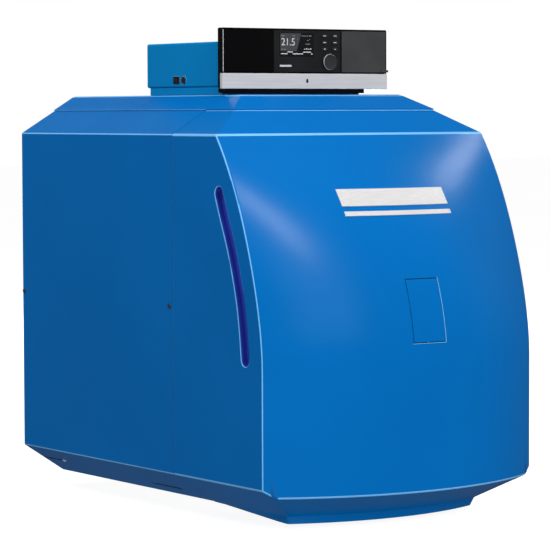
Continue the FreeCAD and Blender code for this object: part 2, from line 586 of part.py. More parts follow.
def hood_volume(inset, rear_y, floor_z):
    """Return the solid inside the hood's skin, drawn in by an inset."""
    def level(z, half_width, corner_y, centre_y):
        return hood_outline(z, half_width - inset, corner_y + inset, centre_y + inset, rear_y)

    drop = -inset
    upright = Part.makeLoft([
        level(HOOD_EDGE_Z, HALF_WIDTH, -406, FRONT_Y),
        level(290, HALF_WIDTH, -406, FRONT_Y),
    ], True, True)
    curved_levels = [
        (290, -406, -497),
        (330, -404.5, -495.5),
        (370, -398.5, -490),
        (420, -388, -477),
        (470, -373, -457),
        (540, -348.5, -421),
        (610, -318, -374),
        (660, -291, -332),
        (SIDE_TOP_Z, -263, -291),
    ]
    curved = Part.makeLoft([
        level(z + (drop if z == SIDE_TOP_Z else 0), HALF_WIDTH, corner, centre)
        for z, corner, centre in curved_levels
    ], True, False)
    crease_z = 743.0
    lower_roof = Part.makeLoft([
        level(SIDE_TOP_Z + drop, HALF_WIDTH, -263, -291),
        level(crease_z + drop, CREASE_X, -211, -232),
    ], True, True)
    tier_step = Part.makeLoft([
        level(crease_z - 1 + drop, CREASE_X + 1, -212, -233),
        level(crease_z + 1.9 + drop, CREASE_X + 1, -212, -233),
    ], True, True)
    upper_roof = Part.makeLoft([
        level(crease_z + 1.9 + drop, CREASE_X + 1, -212, -233),
        level(ROOF_Z + 1.9 + drop, ROOF_HALF_WIDTH + 1, -172, -179),
        level(COVER_TOP_Z + drop, ROOF_HALF_WIDTH - 5, -166, -172),
    ], True, True)
    undercut = Part.makeLoft([
        level(HOOD_EDGE_Z, HALF_WIDTH, -406, FRONT_Y),
        level(23, HALF_WIDTH, -303, -398),
        level(LIP_Z, HALF_WIDTH, -291, -394),
    ], True, True)
    pieces = [upright, curved, lower_roof, tier_step, upper_roof, undercut]
    if floor_z < LIP_Z:
        pieces.append(Part.makeLoft([
            level(LIP_Z, HALF_WIDTH, -291, -394),
            level(floor_z, HALF_WIDTH, -291, -394),
        ], True, True))
    volume = pieces[0].multiFuse(pieces[1:])
    side = HALF_WIDTH - inset
    toe = BASE_HALF_WIDTH - inset
    trim = [
        (-side, 900),
        (-side, SIDE_BOTTOM_Z + inset * 0.6),
        (-toe, BASE_Z + inset * 0.6),
        (-toe + 6, min(LIP_Z, floor_z)),
        (toe - 6, min(LIP_Z, floor_z)),
        (toe, BASE_Z + inset * 0.6),
        (side, SIDE_BOTTOM_Z + inset * 0.6),
        (side, 900),
    ]
    outline = [Vector(x, FRONT_Y - 20, z) for x, z in trim + trim[:1]]
    prism = Part.Face(Part.makePolygon(outline)).extrude(Vector(0, rear_y - FRONT_Y + 40, 0))
    return volume.common(prism)


def grip_face(x, grow):
    """Return the curved grip opening in a hood side, as a face at one X, widened all round."""
    def curve(points, shift):
        spline = Part.BSplineCurve()
        spline.interpolate([Vector(x, y + shift, z) for y, z in points])
        return spline.toShape()

    rear_edge = curve([(-259, 596), (-297, 504), (-327, 404), (-341, 310)], grow)
    front_edge = curve([(-367, 305), (-351, 420), (-321, 513), (-284, 604)], -grow)
    lower_tip = Vector(x, -355, 293 - grow)
    upper_tip = Vector(x, -271, 612 + grow)
    lower_end = Part.Arc(Vector(x, -341 + grow, 310), lower_tip, Vector(x, -367 - grow, 305)).toShape()
    upper_end = Part.Arc(Vector(x, -284 - grow, 604), upper_tip, Vector(x, -259 + grow, 596)).toShape()
    return Part.Face(Part.Wire([rear_edge, lower_end, front_edge, upper_end]))


def hood_parts():
    """Return the pull-off burner hood, its grips, its flap and its trim."""
    outer = hood_volume(0, HOOD_REAR_Y, LIP_Z)
    inner = hood_volume(HOOD_WALL, HOOD_REAR_Y + 20, LIP_Z - 20)
    shell = outer.cut(inner)
    mouth = grip_face(-HALF_WIDTH - 1, 0).extrude(Vector(HOOD_WALL + 2, 0, 0))
    shell = shell.cut(mouth).cut(mirrored(mouth))
    cup = grip_face(-HALF_WIDTH + HOOD_WALL, 2.5).extrude(Vector(GRIP_DEPTH, 0, 0))
    cup = cup.cut(grip_face(-HALF_WIDTH + HOOD_WALL, 0).extrude(Vector(GRIP_DEPTH - 2, 0, 0)))

    def flap_zone(gap):
        return box(-FLAP_HALF_WIDTH + gap, FLAP_HALF_WIDTH - gap, FRONT_Y - 10, -430,
                   FLAP_BOTTOM_Z + gap, FLAP_TOP_Z - gap)

    flap = shell.common(flap_zone(FLAP_GAP))
    shell = shell.cut(flap_zone(0))
    proud = hood_volume(-1.5, HOOD_REAR_Y, LIP_Z)
    trims = []
    for low_z, high_z in (BADGE_BAR_Z, BADGE_PLATE_Z):
        zone = box(-BADGE_HALF_WIDTH, BADGE_HALF_WIDTH, FRONT_Y - 20, -300, low_z, high_z)
        trims.append(proud.common(zone).cut(outer))
    return {
        "hood_shell": shell,
        "grip_trays": group([cup, mirrored(cup)]),
        "service_flap": flap,
        "badge_trims": group(trims),
    }


def control_parts():
    """Return the control unit on top of the casing."""
    half = HOUSING_HALF_WIDTH
    plinth = box(-half, PLINTH_RIGHT_X, BEZEL_REAR_Y, HOUSING_REAR_Y - 10, COVER_TOP_Z, HOUSING_BOTTOM_Z)
    plinth = plinth.cut(box(-half + 2, PLINTH_RIGHT_X - 2, BEZEL_REAR_Y + 2, HOUSING_REAR_Y - 12,
                            COVER_TOP_Z, HOUSING_BOTTOM_Z))
    housing = rounded_box(-half, half, BEZEL_REAR_Y, HOUSING_REAR_Y, HOUSING_BOTTOM_Z, HOUSING_TOP_Z, 4, Y_AXIS)
    hollow = box(-half + SHEET, half - SHEET, BEZEL_REAR_Y, HOUSING_REAR_Y - SHEET,
                 HOUSING_BOTTOM_Z + SHEET, HOUSING_TOP_Z - SHEET)
    housing = housing.cut(hollow)
    housing = housing.cut(box(-half - 1, -half + 3, SWITCH_Y - 11.5, SWITCH_Y + 11.5, SWITCH_Z - 7.5, SWITCH_Z + 7.5))
    housing = housing.cut(rod(Vector(-half - 1, FUSE_Y, FUSE_Z), X_AXIS, 5.0 + RUNNING_CLEARANCE, 4))
    for index in range(9):
        x = -64 + index * 16
        vent = box(x - 3, x + 3, HOUSING_REAR_Y - 5, HOUSING_REAR_Y + 5, 840, 862)
        housing = housing.cut(vent)
    edge = PANEL_HALF_WIDTH
    bezel = rounded_box(-edge, edge, PANEL_Y + 2, BEZEL_REAR_Y, PANEL_BOTTOM_Z, PANEL_TOP_Z, 3, Y_AXIS)
    bezel = bezel.cut(box(-POCKET_HALF_WIDTH, POCKET_HALF_WIDTH, PANEL_Y, POCKET_FLOOR_Y,
                          POCKET_BOTTOM_Z, POCKET_TOP_Z))
    bezel = bezel.cut(box(-55, 75, POCKET_FLOOR_Y, BEZEL_REAR_Y, 822, 862))
    bezel = bezel.cut(box(-edge, edge, PANEL_Y, PANEL_Y + 8, PANEL_BOTTOM_Z, STRIP_TOP_Z + 0.2))
    foot_rail = box(-edge, LOWER_RAIL_END_X, PANEL_Y + 2, BEZEL_REAR_Y - 1, LOWER_RAIL_Z, PANEL_BOTTOM_Z)
    bezel = fused([bezel, foot_rail])
    strip = rounded_box(-edge, edge, PANEL_Y, PANEL_Y + 8, PANEL_BOTTOM_Z, STRIP_TOP_Z, 1.0, X_AXIS)

    def panel(x0, x1):
        return rounded_box(x0, x1, PANEL_Y + 0.5, POCKET_FLOOR_Y, POCKET_BOTTOM_Z + 0.4,
                           POCKET_TOP_Z - 0.4, 1.0, Y_AXIS)

    blank = panel(-POCKET_HALF_WIDTH + 0.4, MODULE_LEFT_X - 0.5)
    module = panel(MODULE_LEFT_X, MODULE_RIGHT_X - 0.6)
    ring = tube(Vector(KNOB_X, PANEL_Y - 0.5, KNOB_Z), Y_AXIS, 17.6, KNOB_R + 0.8, 2)
    module = module.fuse(ring)
    module = module.cut(box(-60, 17, PANEL_Y - 2, PANEL_Y + 2, 843, 887))
    glass = box(-59.7, 16.7, PANEL_Y + 0.2, PANEL_Y + 2, 843.3, 886.7)
    buttons = {}
    for side, x in BUTTON_COLUMNS.items():
        for row, z in BUTTON_ROWS.items():
            reach_x = BUTTON_WIDTH / 2
            reach_z = BUTTON_HEIGHT / 2
            well = rounded_box(x - reach_x - GAP, x + reach_x + GAP, PANEL_Y - 1, PANEL_Y + 7,
                               z - reach_z - GAP, z + reach_z + GAP, 2.0, Y_AXIS)
            module = module.cut(well)
            buttons[f"button_{side}_{row}"] = rounded_box(
                x - reach_x, x + reach_x, PANEL_Y - 1.6, PANEL_Y + 5, z - reach_z, z + reach_z, 1.8, Y_AXIS)
    module = module.cut(rod(Vector(KNOB_X, PANEL_Y - 3, KNOB_Z), Y_AXIS, 3.0 + RUNNING_CLEARANCE, 12))
    knob = fused([
        rod(Vector(KNOB_X, PANEL_Y - KNOB_REACH, KNOB_Z), Y_AXIS, KNOB_R, KNOB_REACH),
        rod(Vector(KNOB_X, PANEL_Y - 1, KNOB_Z), Y_AXIS, 3.0, 9),
    ])
    for step in range(24):
        flute = rod(Vector(KNOB_X, PANEL_Y - KNOB_REACH - 0.5, KNOB_Z + KNOB_R + 0.6), Y_AXIS, 1.2, KNOB_REACH + 1)
        flute.rotate(Vector(KNOB_X, 0, KNOB_Z), Y_AXIS, 15 * step)
        knob = knob.cut(flute)
    cover = panel(MODULE_RIGHT_X + 0.3, POCKET_HALF_WIDTH - 0.4)
    tab = box(POCKET_HALF_WIDTH - 12, PANEL_HALF_WIDTH + 2, PANEL_Y - 1, PANEL_Y + 1.6, 814.6, 819)
    cover = cover.fuse(tab)

    board = box(-62, 78, BEZEL_REAR_Y + 4, BEZEL_REAR_Y + 5.6, 792, 862)
    chips = [box(-50 + 32 * index, -30 + 32 * index, BEZEL_REAR_Y + 5.6, BEZEL_REAR_Y + 12, 800, 816)
             for index in range(4)]
    posts = [rod(Vector(x, BEZEL_REAR_Y, 803), Y_AXIS, 3, 4) for x in (-57, 73)]
    board = fused([board] + chips + posts)

    switch = box(-half + SHEET, -half + 20, SWITCH_Y - 14, SWITCH_Y + 14, SWITCH_Z - 10, SWITCH_Z + 10)
    switch = switch.fuse(box(-half - 1, -half + SHEET, SWITCH_Y - 11.3, SWITCH_Y + 11.3,
                             SWITCH_Z - 7.3, SWITCH_Z + 7.3))
    switch = switch.cut(box(-half - 2, -half + 12, SWITCH_Y - 9.8, SWITCH_Y + 9.8, SWITCH_Z - 5.8, SWITCH_Z + 5.8))
    pivot = Vector(-half + 4, SWITCH_Y, SWITCH_Z)
    switch = switch.cut(rod(pivot - Z_AXIS * 8, Z_AXIS, 1.5 + RUNNING_CLEARANCE, 16))
    rocker_points = [(-5.5, -9), (-4.2, 0), (-5.5, 9), (2.0, 9), (2.0, -9)]
    rocker_wire = [Vector(pivot.x + x, pivot.y + y, SWITCH_Z - 5.5) for x, y in rocker_points]
    rocker = Part.Face(Part.makePolygon(rocker_wire + rocker_wire[:1])).extrude(Vector(0, 0, 11))
    rocker = rocker.fuse(rod(pivot - Z_AXIS * 7, Z_AXIS, 1.5, 14))
    rocker.rotate(pivot, Z_AXIS, ROCKER_TILT)
    fuse_cap = fused([
        rod(Vector(-half - 6, FUSE_Y, FUSE_Z), X_AXIS, 7.5, 5.6),
        rod(Vector(-half - 1, FUSE_Y, FUSE_Z), X_AXIS, 5.0, 14),
    ]).cut(box(-half - 7, -half - 4.5, FUSE_Y - 5, FUSE_Y + 5, FUSE_Z - 0.8, FUSE_Z + 0.8))
    parts = {
        "control_plinth": plinth,
        "control_housing": housing,
        "control_bezel": bezel,
        "silver_strip": strip,
        "blank_panel": blank,
        "display_module": module,
        "display_glass": glass,
        "control_knob": knob,
        "right_cover": cover,
        "circuit_board": board,
        "switch_body": switch,
        "switch_rocker": rocker,
        "fuse_cap": fuse_cap,
    }
    parts.update(buttons)
    return parts


def main():
    """Build every piece and write one file for each."""
    os.makedirs("parts", exist_ok=True)
    for builder in (casing_parts, block_parts, burner_parts, hood_parts, control_parts):
        for name, shape in builder().items():
            shape.exportStep(f"parts/{name}.step")
            size = shape.optimalBoundingBox(False)
            print(f"{name}: {len(shape.Solids)} solids, valid {shape.isValid()}, "
                  f"x {size.XMin:.1f}..{size.XMax:.1f} y {size.YMin:.1f}..{size.YMax:.1f} "
                  f"z {size.ZMin:.1f}..{size.ZMax:.1f} volume {shape.Volume:.0f}")


main()
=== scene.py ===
"""Looks of a floor-standing oil boiler: casing, burner hood, control unit and burner."""

import json
import logging
import math
from dataclasses import dataclass, field
from enum import Enum
from typing import Any, Callable, Iterable, Optional, Sequence

import bmesh
import bpy
from mathutils import Matrix, Vector

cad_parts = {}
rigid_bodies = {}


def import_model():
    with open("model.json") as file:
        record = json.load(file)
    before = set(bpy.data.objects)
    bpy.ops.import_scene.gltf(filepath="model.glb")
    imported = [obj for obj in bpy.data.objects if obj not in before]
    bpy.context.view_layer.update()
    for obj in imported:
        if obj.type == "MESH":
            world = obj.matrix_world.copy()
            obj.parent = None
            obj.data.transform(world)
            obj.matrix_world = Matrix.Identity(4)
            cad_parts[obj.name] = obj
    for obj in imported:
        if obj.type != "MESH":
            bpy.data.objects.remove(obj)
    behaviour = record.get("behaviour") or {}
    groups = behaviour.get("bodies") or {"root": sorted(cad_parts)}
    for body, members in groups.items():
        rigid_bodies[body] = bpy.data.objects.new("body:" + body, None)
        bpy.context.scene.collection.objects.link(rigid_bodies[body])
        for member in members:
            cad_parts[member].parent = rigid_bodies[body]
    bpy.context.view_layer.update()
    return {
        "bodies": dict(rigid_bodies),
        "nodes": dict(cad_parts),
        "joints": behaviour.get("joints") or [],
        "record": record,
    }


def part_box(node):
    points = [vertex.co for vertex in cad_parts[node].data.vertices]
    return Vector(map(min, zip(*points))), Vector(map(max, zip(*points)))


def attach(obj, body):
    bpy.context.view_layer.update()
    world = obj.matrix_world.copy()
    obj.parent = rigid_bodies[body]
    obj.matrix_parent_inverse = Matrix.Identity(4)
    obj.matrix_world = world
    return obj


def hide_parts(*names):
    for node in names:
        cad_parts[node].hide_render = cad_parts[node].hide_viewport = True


LOG = logging.getLogger("boiler")

Colour = tuple[float, float, float]
Point = tuple[float, float, float]
Test = Callable[[Vector, Vector], bool]

MERGE_GAP = 1e-6
HAIR = 1e-5
FOLD_WIDTH = 0.0016
CUT_EDGE_WIDTH = 0.0004


# ---------------------------------------------------------------- shader maths


class Wire:
    """A node's output; arithmetic on it adds Math nodes to its board."""

    def __init__(self, board: "Board", socket: bpy.types.NodeSocket) -> None:
        """Keep the board that owns the socket."""
        self.board = board
        self.socket = socket

    def _math(self, operation: str, first: Any, second: Any) -> "Wire":
        """Return a Math node's result for two operands."""
        return self.board.add("ShaderNodeMath", {"operation": operation}, {0: first, 1: second})

    def __add__(self, other: Any) -> "Wire":
        """Return the sum."""
        return self._math("ADD", self, other)

    def __radd__(self, other: Any) -> "Wire":
        """Return the sum."""
        return self._math("ADD", other, self)

    def __sub__(self, other: Any) -> "Wire":
        """Return the difference."""
        return self._math("SUBTRACT", self, other)

    def __rsub__(self, other: Any) -> "Wire":
        """Return the reflected difference."""
        return self._math("SUBTRACT", other, self)

    def __mul__(self, other: Any) -> "Wire":
        """Return the product."""
        return self._math("MULTIPLY", self, other)

    def __rmul__(self, other: Any) -> "Wire":
        """Return the product."""
        return self._math("MULTIPLY", other, self)

    def between(self, low: float, high: float) -> "Wire":
        """Return 0 below low, 1 above high and a smooth step between them."""
        return self.board.add("ShaderNodeMapRange", {"interpolation_type": "SMOOTHSTEP"},
                              {0: self, 1: low, 2: high, 3: 0.0, 4: 1.0})


class Board:
    """The node board of one material."""

    def __init__(self, name: str) -> None:
        """Start a material with one Principled shader.

        Args:
            name: the material's name.
        """
        self.material = bpy.data.materials.new(name)
        self.material.use_nodes = True
        self.tree = self.material.node_tree
        self.shader = self.tree.nodes["Principled BSDF"]
        self.place = self.add("ShaderNodeTexCoord", {}, {}, "Object")

    def add(self, kind: str, settings: dict[str, Any], inputs: dict[Any, Any],
            output: Any = 0) -> Wire:
        """Add a node.

        Args:
            kind: the node's type name.
            settings: its own properties, set before its sockets.
            inputs: values or wires by socket name or number.
            output: the name or number of the socket to return.

        Returns:
            The chosen output.
        """
        node = self.tree.nodes.new(kind)
        for name, value in settings.items():
            setattr(node, name, value)
        for name, value in inputs.items():
            self.join(node.inputs[name], value)
        return Wire(self, node.outputs[output])

    def join(self, socket: bpy.types.NodeSocket, value: Any) -> None:
        """Link a wire to a socket, or set the socket's own value.

        Args:
            socket: the socket to feed.
            value: a wire, a number or a colour.
        """
        if isinstance(value, Wire):
            self.tree.links.new(value.socket, socket)
        elif socket.type == "RGBA" and len(value) == 3:
            socket.default_value = (*value, 1.0)
        else:
            socket.default_value = value

    def stretched(self, scale: Point) -> Wire:
        """Return Object coordinates scaled apart along the three axes."""
        return self.add("ShaderNodeMapping", {}, {"Vector": self.place, "Scale": scale})

    def noise(self, scale: float, detail: float = 2.0, stretch: Point = (1.0, 1.0, 1.0)) -> Wire:
        """Return a noise whose cells are 1/scale metres across."""
        return self.add("ShaderNodeTexNoise", {},
                        {"Vector": self.stretched(stretch), "Scale": scale, "Detail": detail})

    def cells(self, scale: float, output: str = "Distance") -> Wire:
        """Return a Voronoi pattern whose cells are 1/scale metres across."""
        return self.add("ShaderNodeTexVoronoi", {}, {"Vector": self.place, "Scale": scale},
                        output)

    def mix(self, factor: Any, first: Any, second: Any) -> Wire:
        """Return a colour between two colours."""
        return self.add("ShaderNodeMix", {"data_type": "RGBA"}, {0: factor, 6: first, 7: second}, 2)

    def bump(self, height: Wire, strength: float, distance: float) -> None:
        """Let a height disturb the shader's normal."""
        normal = self.add("ShaderNodeBump", {}, {"Height": height, "Strength": strength,
                                                 "Distance": distance})
        self.join(self.shader.inputs["Normal"], normal)

    def feed(self, **values: Any) -> None:
        """Set or link the shader's sockets, with underscores for spaces in their names."""
        for name, value in values.items():
            self.join(self.shader.inputs[name.replace("_", " ")], value)


# ---------------------------------------------------------------- finishes


class Surface(Enum):
    """How a surface is made, which decides its pattern."""

    COATED = "coated"
    BRUSHED = "brushed"
    SPANGLED = "spangled"
    CAST = "cast"
    GRAINED = "grained"
    POLISHED = "polished"
    FIBROUS = "fibrous"


@dataclass(frozen=True)
class Finish:
    """One finish: its colours, gloss and pattern."""

    name: str
    surface: Surface
    base: Colour
    shade: Colour
    roughness: float
    metallic: float = 0.0
    coat: float = 0.0
    specular: float = 0.5
    scale: float = 1.0
    relief: float = 1.0
    glow: float = 0.0

    def pattern(self, board: Board) -> tuple[Wire, Wire, float]:
        """Return the mask of the second colour, the relief's height and its depth in metres.

        Args:
            board: the board to add nodes to.

        Returns:
            The mask of the second colour, the relief's height and its depth in metres.
        """
        size = self.scale
        if self.surface is Surface.COATED:
            peel = board.noise(420.0 / size, 2.0)
            return board.noise(3.0, 3.0).between(0.35, 0.7), peel, 0.00001
        if self.surface is Surface.BRUSHED:
            lines = board.noise(900.0 / size, 4.0, (0.015, 1.0, 1.0))
            return lines.between(0.35, 0.75), lines, 0.00003
        if self.surface is Surface.SPANGLED:
            flakes = board.cells(70.0 / size, "Color")
            grey = board.add("ShaderNodeSeparateColor", {}, {"Color": flakes})
            return grey, board.noise(260.0 / size, 2.0), 0.00002
        if self.surface is Surface.CAST:
            sand = board.noise(600.0 / size, 5.0)
            return board.noise(24.0 / size, 4.0).between(0.35, 0.68), sand, 0.0003
        if self.surface is Surface.GRAINED:
            pits = board.cells(1500.0 / size)
            return board.noise(18.0, 3.0).between(0.3, 0.75), pits, 0.00006
        if self.surface is Surface.FIBROUS:
            strands = board.noise(300.0 / size, 6.0, (1.0, 0.25, 0.6))
            return strands.between(0.3, 0.7), strands, 0.002
        return board.noise(9.0, 2.0).between(0.3, 0.8), board.noise(60.0 / size, 2.0), 0.00002

    def make(self) -> bpy.types.Material:
        """Return the finished material.

        Returns:
            The material.
        """
        board = Board(self.name)
        mask, height, depth = self.pattern(board)
        wear = 0.012 if self.surface is Surface.COATED else 0.05 * (0.3 + self.roughness)
        rough = self.roughness + board.noise(14.0, 4.0).between(0.40, 0.80) * wear
        colour = board.mix(mask, self.base, self.shade)
        board.feed(Base_Color=colour, Roughness=rough, Metallic=self.metallic,
                   Coat_Weight=self.coat, Coat_Roughness=0.04, Specular_IOR_Level=self.specular)
        if self.glow:
            board.feed(Emission_Color=colour, Emission_Strength=self.glow)
        board.bump(height, min(1.0, 0.35 * self.relief), depth * self.relief)
        return board.material


FINISHES = (
    Finish("blue_paint", Surface.COATED, (0.0, 0.128, 0.425), (0.0, 0.138, 0.455),
           0.26, specular=0.12),
    Finish("unit_blue", Surface.COATED, (0.0, 0.215, 0.52), (0.0, 0.235, 0.56),
           0.26, specular=0.12),
    # Painted highlight: a lighter blue on rounded folds and edges stands in for the light they
    # catch; the pale rims at the fuse holder and the switch share it.
    Finish("fold_paint", Surface.COATED, (0.16, 0.46, 0.86), (0.20, 0.52, 0.90),
           0.22, specular=0.5),
    Finish("galvanised_steel", Surface.SPANGLED, (0.40, 0.415, 0.43), (0.55, 0.565, 0.58),
           0.40, 0.35),
    Finish("cast_iron", Surface.CAST, (0.045, 0.045, 0.048), (0.10, 0.085, 0.075), 0.72, 0.3),
    Finish("jacket_wool", Surface.FIBROUS, (0.52, 0.46, 0.30), (0.66, 0.60, 0.44), 0.95),
    Finish("cast_aluminium", Surface.CAST, (0.42, 0.43, 0.44), (0.54, 0.55, 0.56), 0.46, 0.35,
           scale=0.8, relief=0.5),
    Finish("black_plastic", Surface.GRAINED, (0.018, 0.018, 0.020), (0.030, 0.030, 0.033), 0.52),
    Finish("gloss_black", Surface.POLISHED, (0.002, 0.002, 0.0023), (0.0032, 0.0032, 0.0036),
           0.18, specular=0.25),
    Finish("grey_plastic", Surface.GRAINED, (0.028, 0.028, 0.029), (0.036, 0.036, 0.037),
           0.42, specular=0.35),
    Finish("bright_steel", Surface.BRUSHED, (0.50, 0.50, 0.52), (0.66, 0.66, 0.68), 0.30, 0.45),
    Finish("copper_pipe", Surface.POLISHED, (0.68, 0.30, 0.17), (0.52, 0.22, 0.13), 0.26, 0.5),
    Finish("silver_trim", Surface.BRUSHED, (0.64, 0.63, 0.63), (0.74, 0.73, 0.73), 0.45, 0.15),
    Finish("black_enamel", Surface.COATED, (0.020, 0.020, 0.022), (0.032, 0.031, 0.030), 0.36),
    Finish("brass", Surface.BRUSHED, (0.62, 0.42, 0.14), (0.74, 0.52, 0.22), 0.28, 0.5, scale=0.5),
    Finish("rocker_plastic", Surface.GRAINED, (0.012, 0.012, 0.014), (0.022, 0.022, 0.024), 0.32),
    Finish("ceramic", Surface.POLISHED, (0.82, 0.80, 0.76), (0.72, 0.69, 0.64), 0.20, coat=0.4),
    Finish("red_plastic", Surface.GRAINED, (0.55, 0.012, 0.010), (0.62, 0.020, 0.015), 0.30),
    Finish("violet_plastic", Surface.GRAINED, (0.022, 0.045, 0.42), (0.028, 0.058, 0.48), 0.45),
    Finish("board_green", Surface.GRAINED, (0.010, 0.14, 0.045), (0.014, 0.19, 0.06), 0.40),
    Finish("display_glass", Surface.POLISHED, (0.006, 0.0065, 0.007), (0.010, 0.0105, 0.011), 0.10),
    Finish("lit_mark", Surface.POLISHED, (0.48, 0.49, 0.50), (0.56, 0.57, 0.58), 0.40, glow=0.15),
    Finish("dim_mark", Surface.POLISHED, (0.16, 0.165, 0.17), (0.20, 0.205, 0.21), 0.40, glow=0.05),
    Finish("lit_zone", Surface.POLISHED, (0.050, 0.051, 0.052), (0.070, 0.071, 0.072),
           0.20, glow=0.01),
    Finish("module_grey", Surface.GRAINED, (0.012, 0.012, 0.0123), (0.016, 0.016, 0.0163),
           0.42, specular=0.3),
    Finish("cover_grey", Surface.GRAINED, (0.045, 0.045, 0.046), (0.056, 0.056, 0.057),
           0.45, specular=0.35),
    Finish("dark_mark", Surface.POLISHED, (0.012, 0.012, 0.014), (0.020, 0.020, 0.022), 0.40),
    Finish("dark_screw", Surface.BRUSHED, (0.04, 0.05, 0.07), (0.08, 0.09, 0.11), 0.40, 0.3),
)


class Paints:
    """All finishes, made once and handed out by slot name."""

    def __init__(self) -> None:
        """Make every material."""
        self.materials = {finish.name: finish.make() for finish in FINISHES}
        self.recorded: set[str] = set()

    def dress(self, piece: bpy.types.Object, slot: str) -> None:
        """Give a piece its finish, and its folds their painted highlight.

        Args:
            piece: the piece to dress.
            slot: the finish's name.
        """
        slots = piece.data.materials
        if len(slots) < 2:
            slots.clear()
            slots.append(self.materials[slot])
        else:
            slots[0], slots[1] = self.materials[slot], self.materials["fold_paint"]

    def repaint(self, nodes: dict[str, bpy.types.Object], record: dict[str, Any]) -> None:
        """Give every carried-over CAD node its slot's finish.

        Args:
            nodes: the CAD nodes by name.
            record: the part's record.
        """
        self.recorded = {entry["slot"] for entry in record["materials"]}
        for entry in record["subparts"]:
            node = nodes[entry["node"]]
            for slot in node.material_slots:
                slot.material = self.materials[entry["material_slot"]]


# ---------------------------------------------------------------- modelling bench


class Bench:
    """Modelling by hand: primitives, edit-mode tools and applied modifiers."""

    @staticmethod
    def clear() -> None:
        """Leave edit mode and deselect everything."""
        if bpy.context.object is not None and bpy.context.object.mode != "OBJECT":
            bpy.ops.object.mode_set(mode="OBJECT")
        bpy.ops.object.select_all(action="DESELECT")

    @classmethod
    def only(cls, piece: bpy.types.Object) -> None:
        """Select one piece and make it active.

        Args:
            piece: the piece to work on.
        """
        cls.clear()
        piece.select_set(True)
        bpy.context.view_layer.objects.active = piece

    @staticmethod
    def leave() -> None:
        """Leave edit mode."""
        bpy.ops.object.mode_set(mode="OBJECT")

    @classmethod
    def open_whole(cls, piece: bpy.types.Object) -> None:
        """Enter edit mode with the whole piece selected.

        Args:
            piece: the piece to open.
        """
        cls.only(piece)
        bpy.ops.object.mode_set(mode="EDIT")
        bpy.ops.mesh.select_all(action="SELECT")

    @classmethod
    def apply_place(cls, piece: bpy.types.Object) -> None:
        """Move a piece's place, turn and size into its mesh."""
        cls.only(piece)
        bpy.ops.object.transform_apply(location=True, rotation=True, scale=True)

    @classmethod
    def settle(cls, name: str) -> bpy.types.Object:
        """Name the active piece and move its place into its mesh.

        Args:
            name: the piece's name.

        Returns:
            The piece.
        """
        piece = bpy.context.active_object
        piece.name = name
        piece.data.name = name
        cls.apply_place(piece)
        return piece

    @staticmethod
    def from_shape(name: str, shape: bmesh.types.BMesh) -> bpy.types.Object:
        """Turn an edited shape into a piece of the scene.

        Args:
            name: the piece's name.
            shape: the edited shape, freed here.

        Returns:
            The piece.
        """
        mesh = bpy.data.meshes.new(name)
        shape.to_mesh(mesh)
        shape.free()
        piece = bpy.data.objects.new(name, mesh)
        bpy.context.scene.collection.objects.link(piece)
        return piece

    @classmethod
    def block(cls, name: str, low: Sequence[float], high: Sequence[float]) -> bpy.types.Object:
        """Add a block between two corners.

        Args:
            name: the piece's name.
            low: its lower corner.
            high: its upper corner.

        Returns:
            The piece.
        """
        cls.clear()
        centre = [(a + b) / 2 for a, b in zip(low, high)]
        bpy.ops.mesh.primitive_cube_add(size=1.0, location=centre)
        bpy.context.active_object.scale = [b - a for a, b in zip(low, high)]
        return cls.settle(name)

    @classmethod
    def drum(cls, name: str, start: Sequence[float], along: str, radius: float, length: float,
             sides: int = 64) -> bpy.types.Object:
        """Add a closed cylinder.

        Args:
            name: the piece's name.
            start: centre of its first end.
            along: the axis it runs along, X, Y or Z.
            radius: its radius.
            length: its length, negative to run backwards.
            sides: how many faces go round it.

        Returns:
            The piece.
        """
        cls.clear()
        centre = list(start)
        centre["XYZ".index(along)] += length / 2
        turn = {"X": (0.0, math.pi / 2, 0.0), "Y": (math.pi / 2, 0.0, 0.0),
                "Z": (0.0, 0.0, 0.0)}[along]
        bpy.ops.mesh.primitive_cylinder_add(vertices=sides, radius=radius, depth=abs(length),
                                            location=centre, rotation=turn)
        return cls.settle(name)

    @classmethod
    def tilted_drum(cls, name: str, place: Point, tilt: float, radius: float, depth: float,
                    sides: int) -> bpy.types.Object:
        """Add a closed cylinder that is tilted about the Y axis.

        Args:
            name: the piece's name.
            place: its centre.
            tilt: the angle from upright, in radians.
            radius: its radius.
            depth: its length.
            sides: how many faces go round it.

        Returns:
            The piece.
        """
        cls.clear()
        bpy.ops.mesh.primitive_cylinder_add(vertices=sides, radius=radius, depth=depth,
                                            location=place, rotation=(0.0, tilt, 0.0))
        return cls.settle(name)

    @classmethod
    def hoop(cls, name: str, place: Point, radius: float, thickness: float,
             segments: int) -> bpy.types.Object:
        """Add a round ring that lies in the X-Z plane.

        Args:
            name: the piece's name.
            place: its centre.
            radius: from the centre to the middle of the ring's section.
            thickness: half the section's width.
            segments: how many faces go round it.

        Returns:
            The piece.
        """
        cls.clear()
        bpy.ops.mesh.primitive_torus_add(location=place, rotation=(math.pi / 2, 0.0, 0.0),
                                         major_segments=segments, minor_segments=12,
                                         major_radius=radius, minor_radius=thickness)
        return cls.settle(name)

    @classmethod
    def pick(cls, piece: bpy.types.Object, kind: str,
             test: Test) -> None:
        """Select a piece's faces or edges by place and normal, and enter edit mode.

        Args:
            piece: the piece to work on.
            kind: FACE or EDGE.
            test: told the element's middle and, for faces, its normal.
        """
        cls.only(piece)
        bpy.ops.object.mode_set(mode="EDIT")
        bpy.ops.mesh.select_mode(type=kind)
        bpy.ops.mesh.select_all(action="DESELECT")
        shape = bmesh.from_edit_mesh(piece.data)
        if kind == "FACE":
            for face in shape.faces:
                face.select_set(test(face.calc_center_median(), face.normal))
        else:
            for edge in shape.edges:
                start, end = edge.verts[0].co, edge.verts[1].co
                edge.select_set(test((start + end) / 2, (end - start).normalized()))
        bmesh.update_edit_mesh(piece.data)

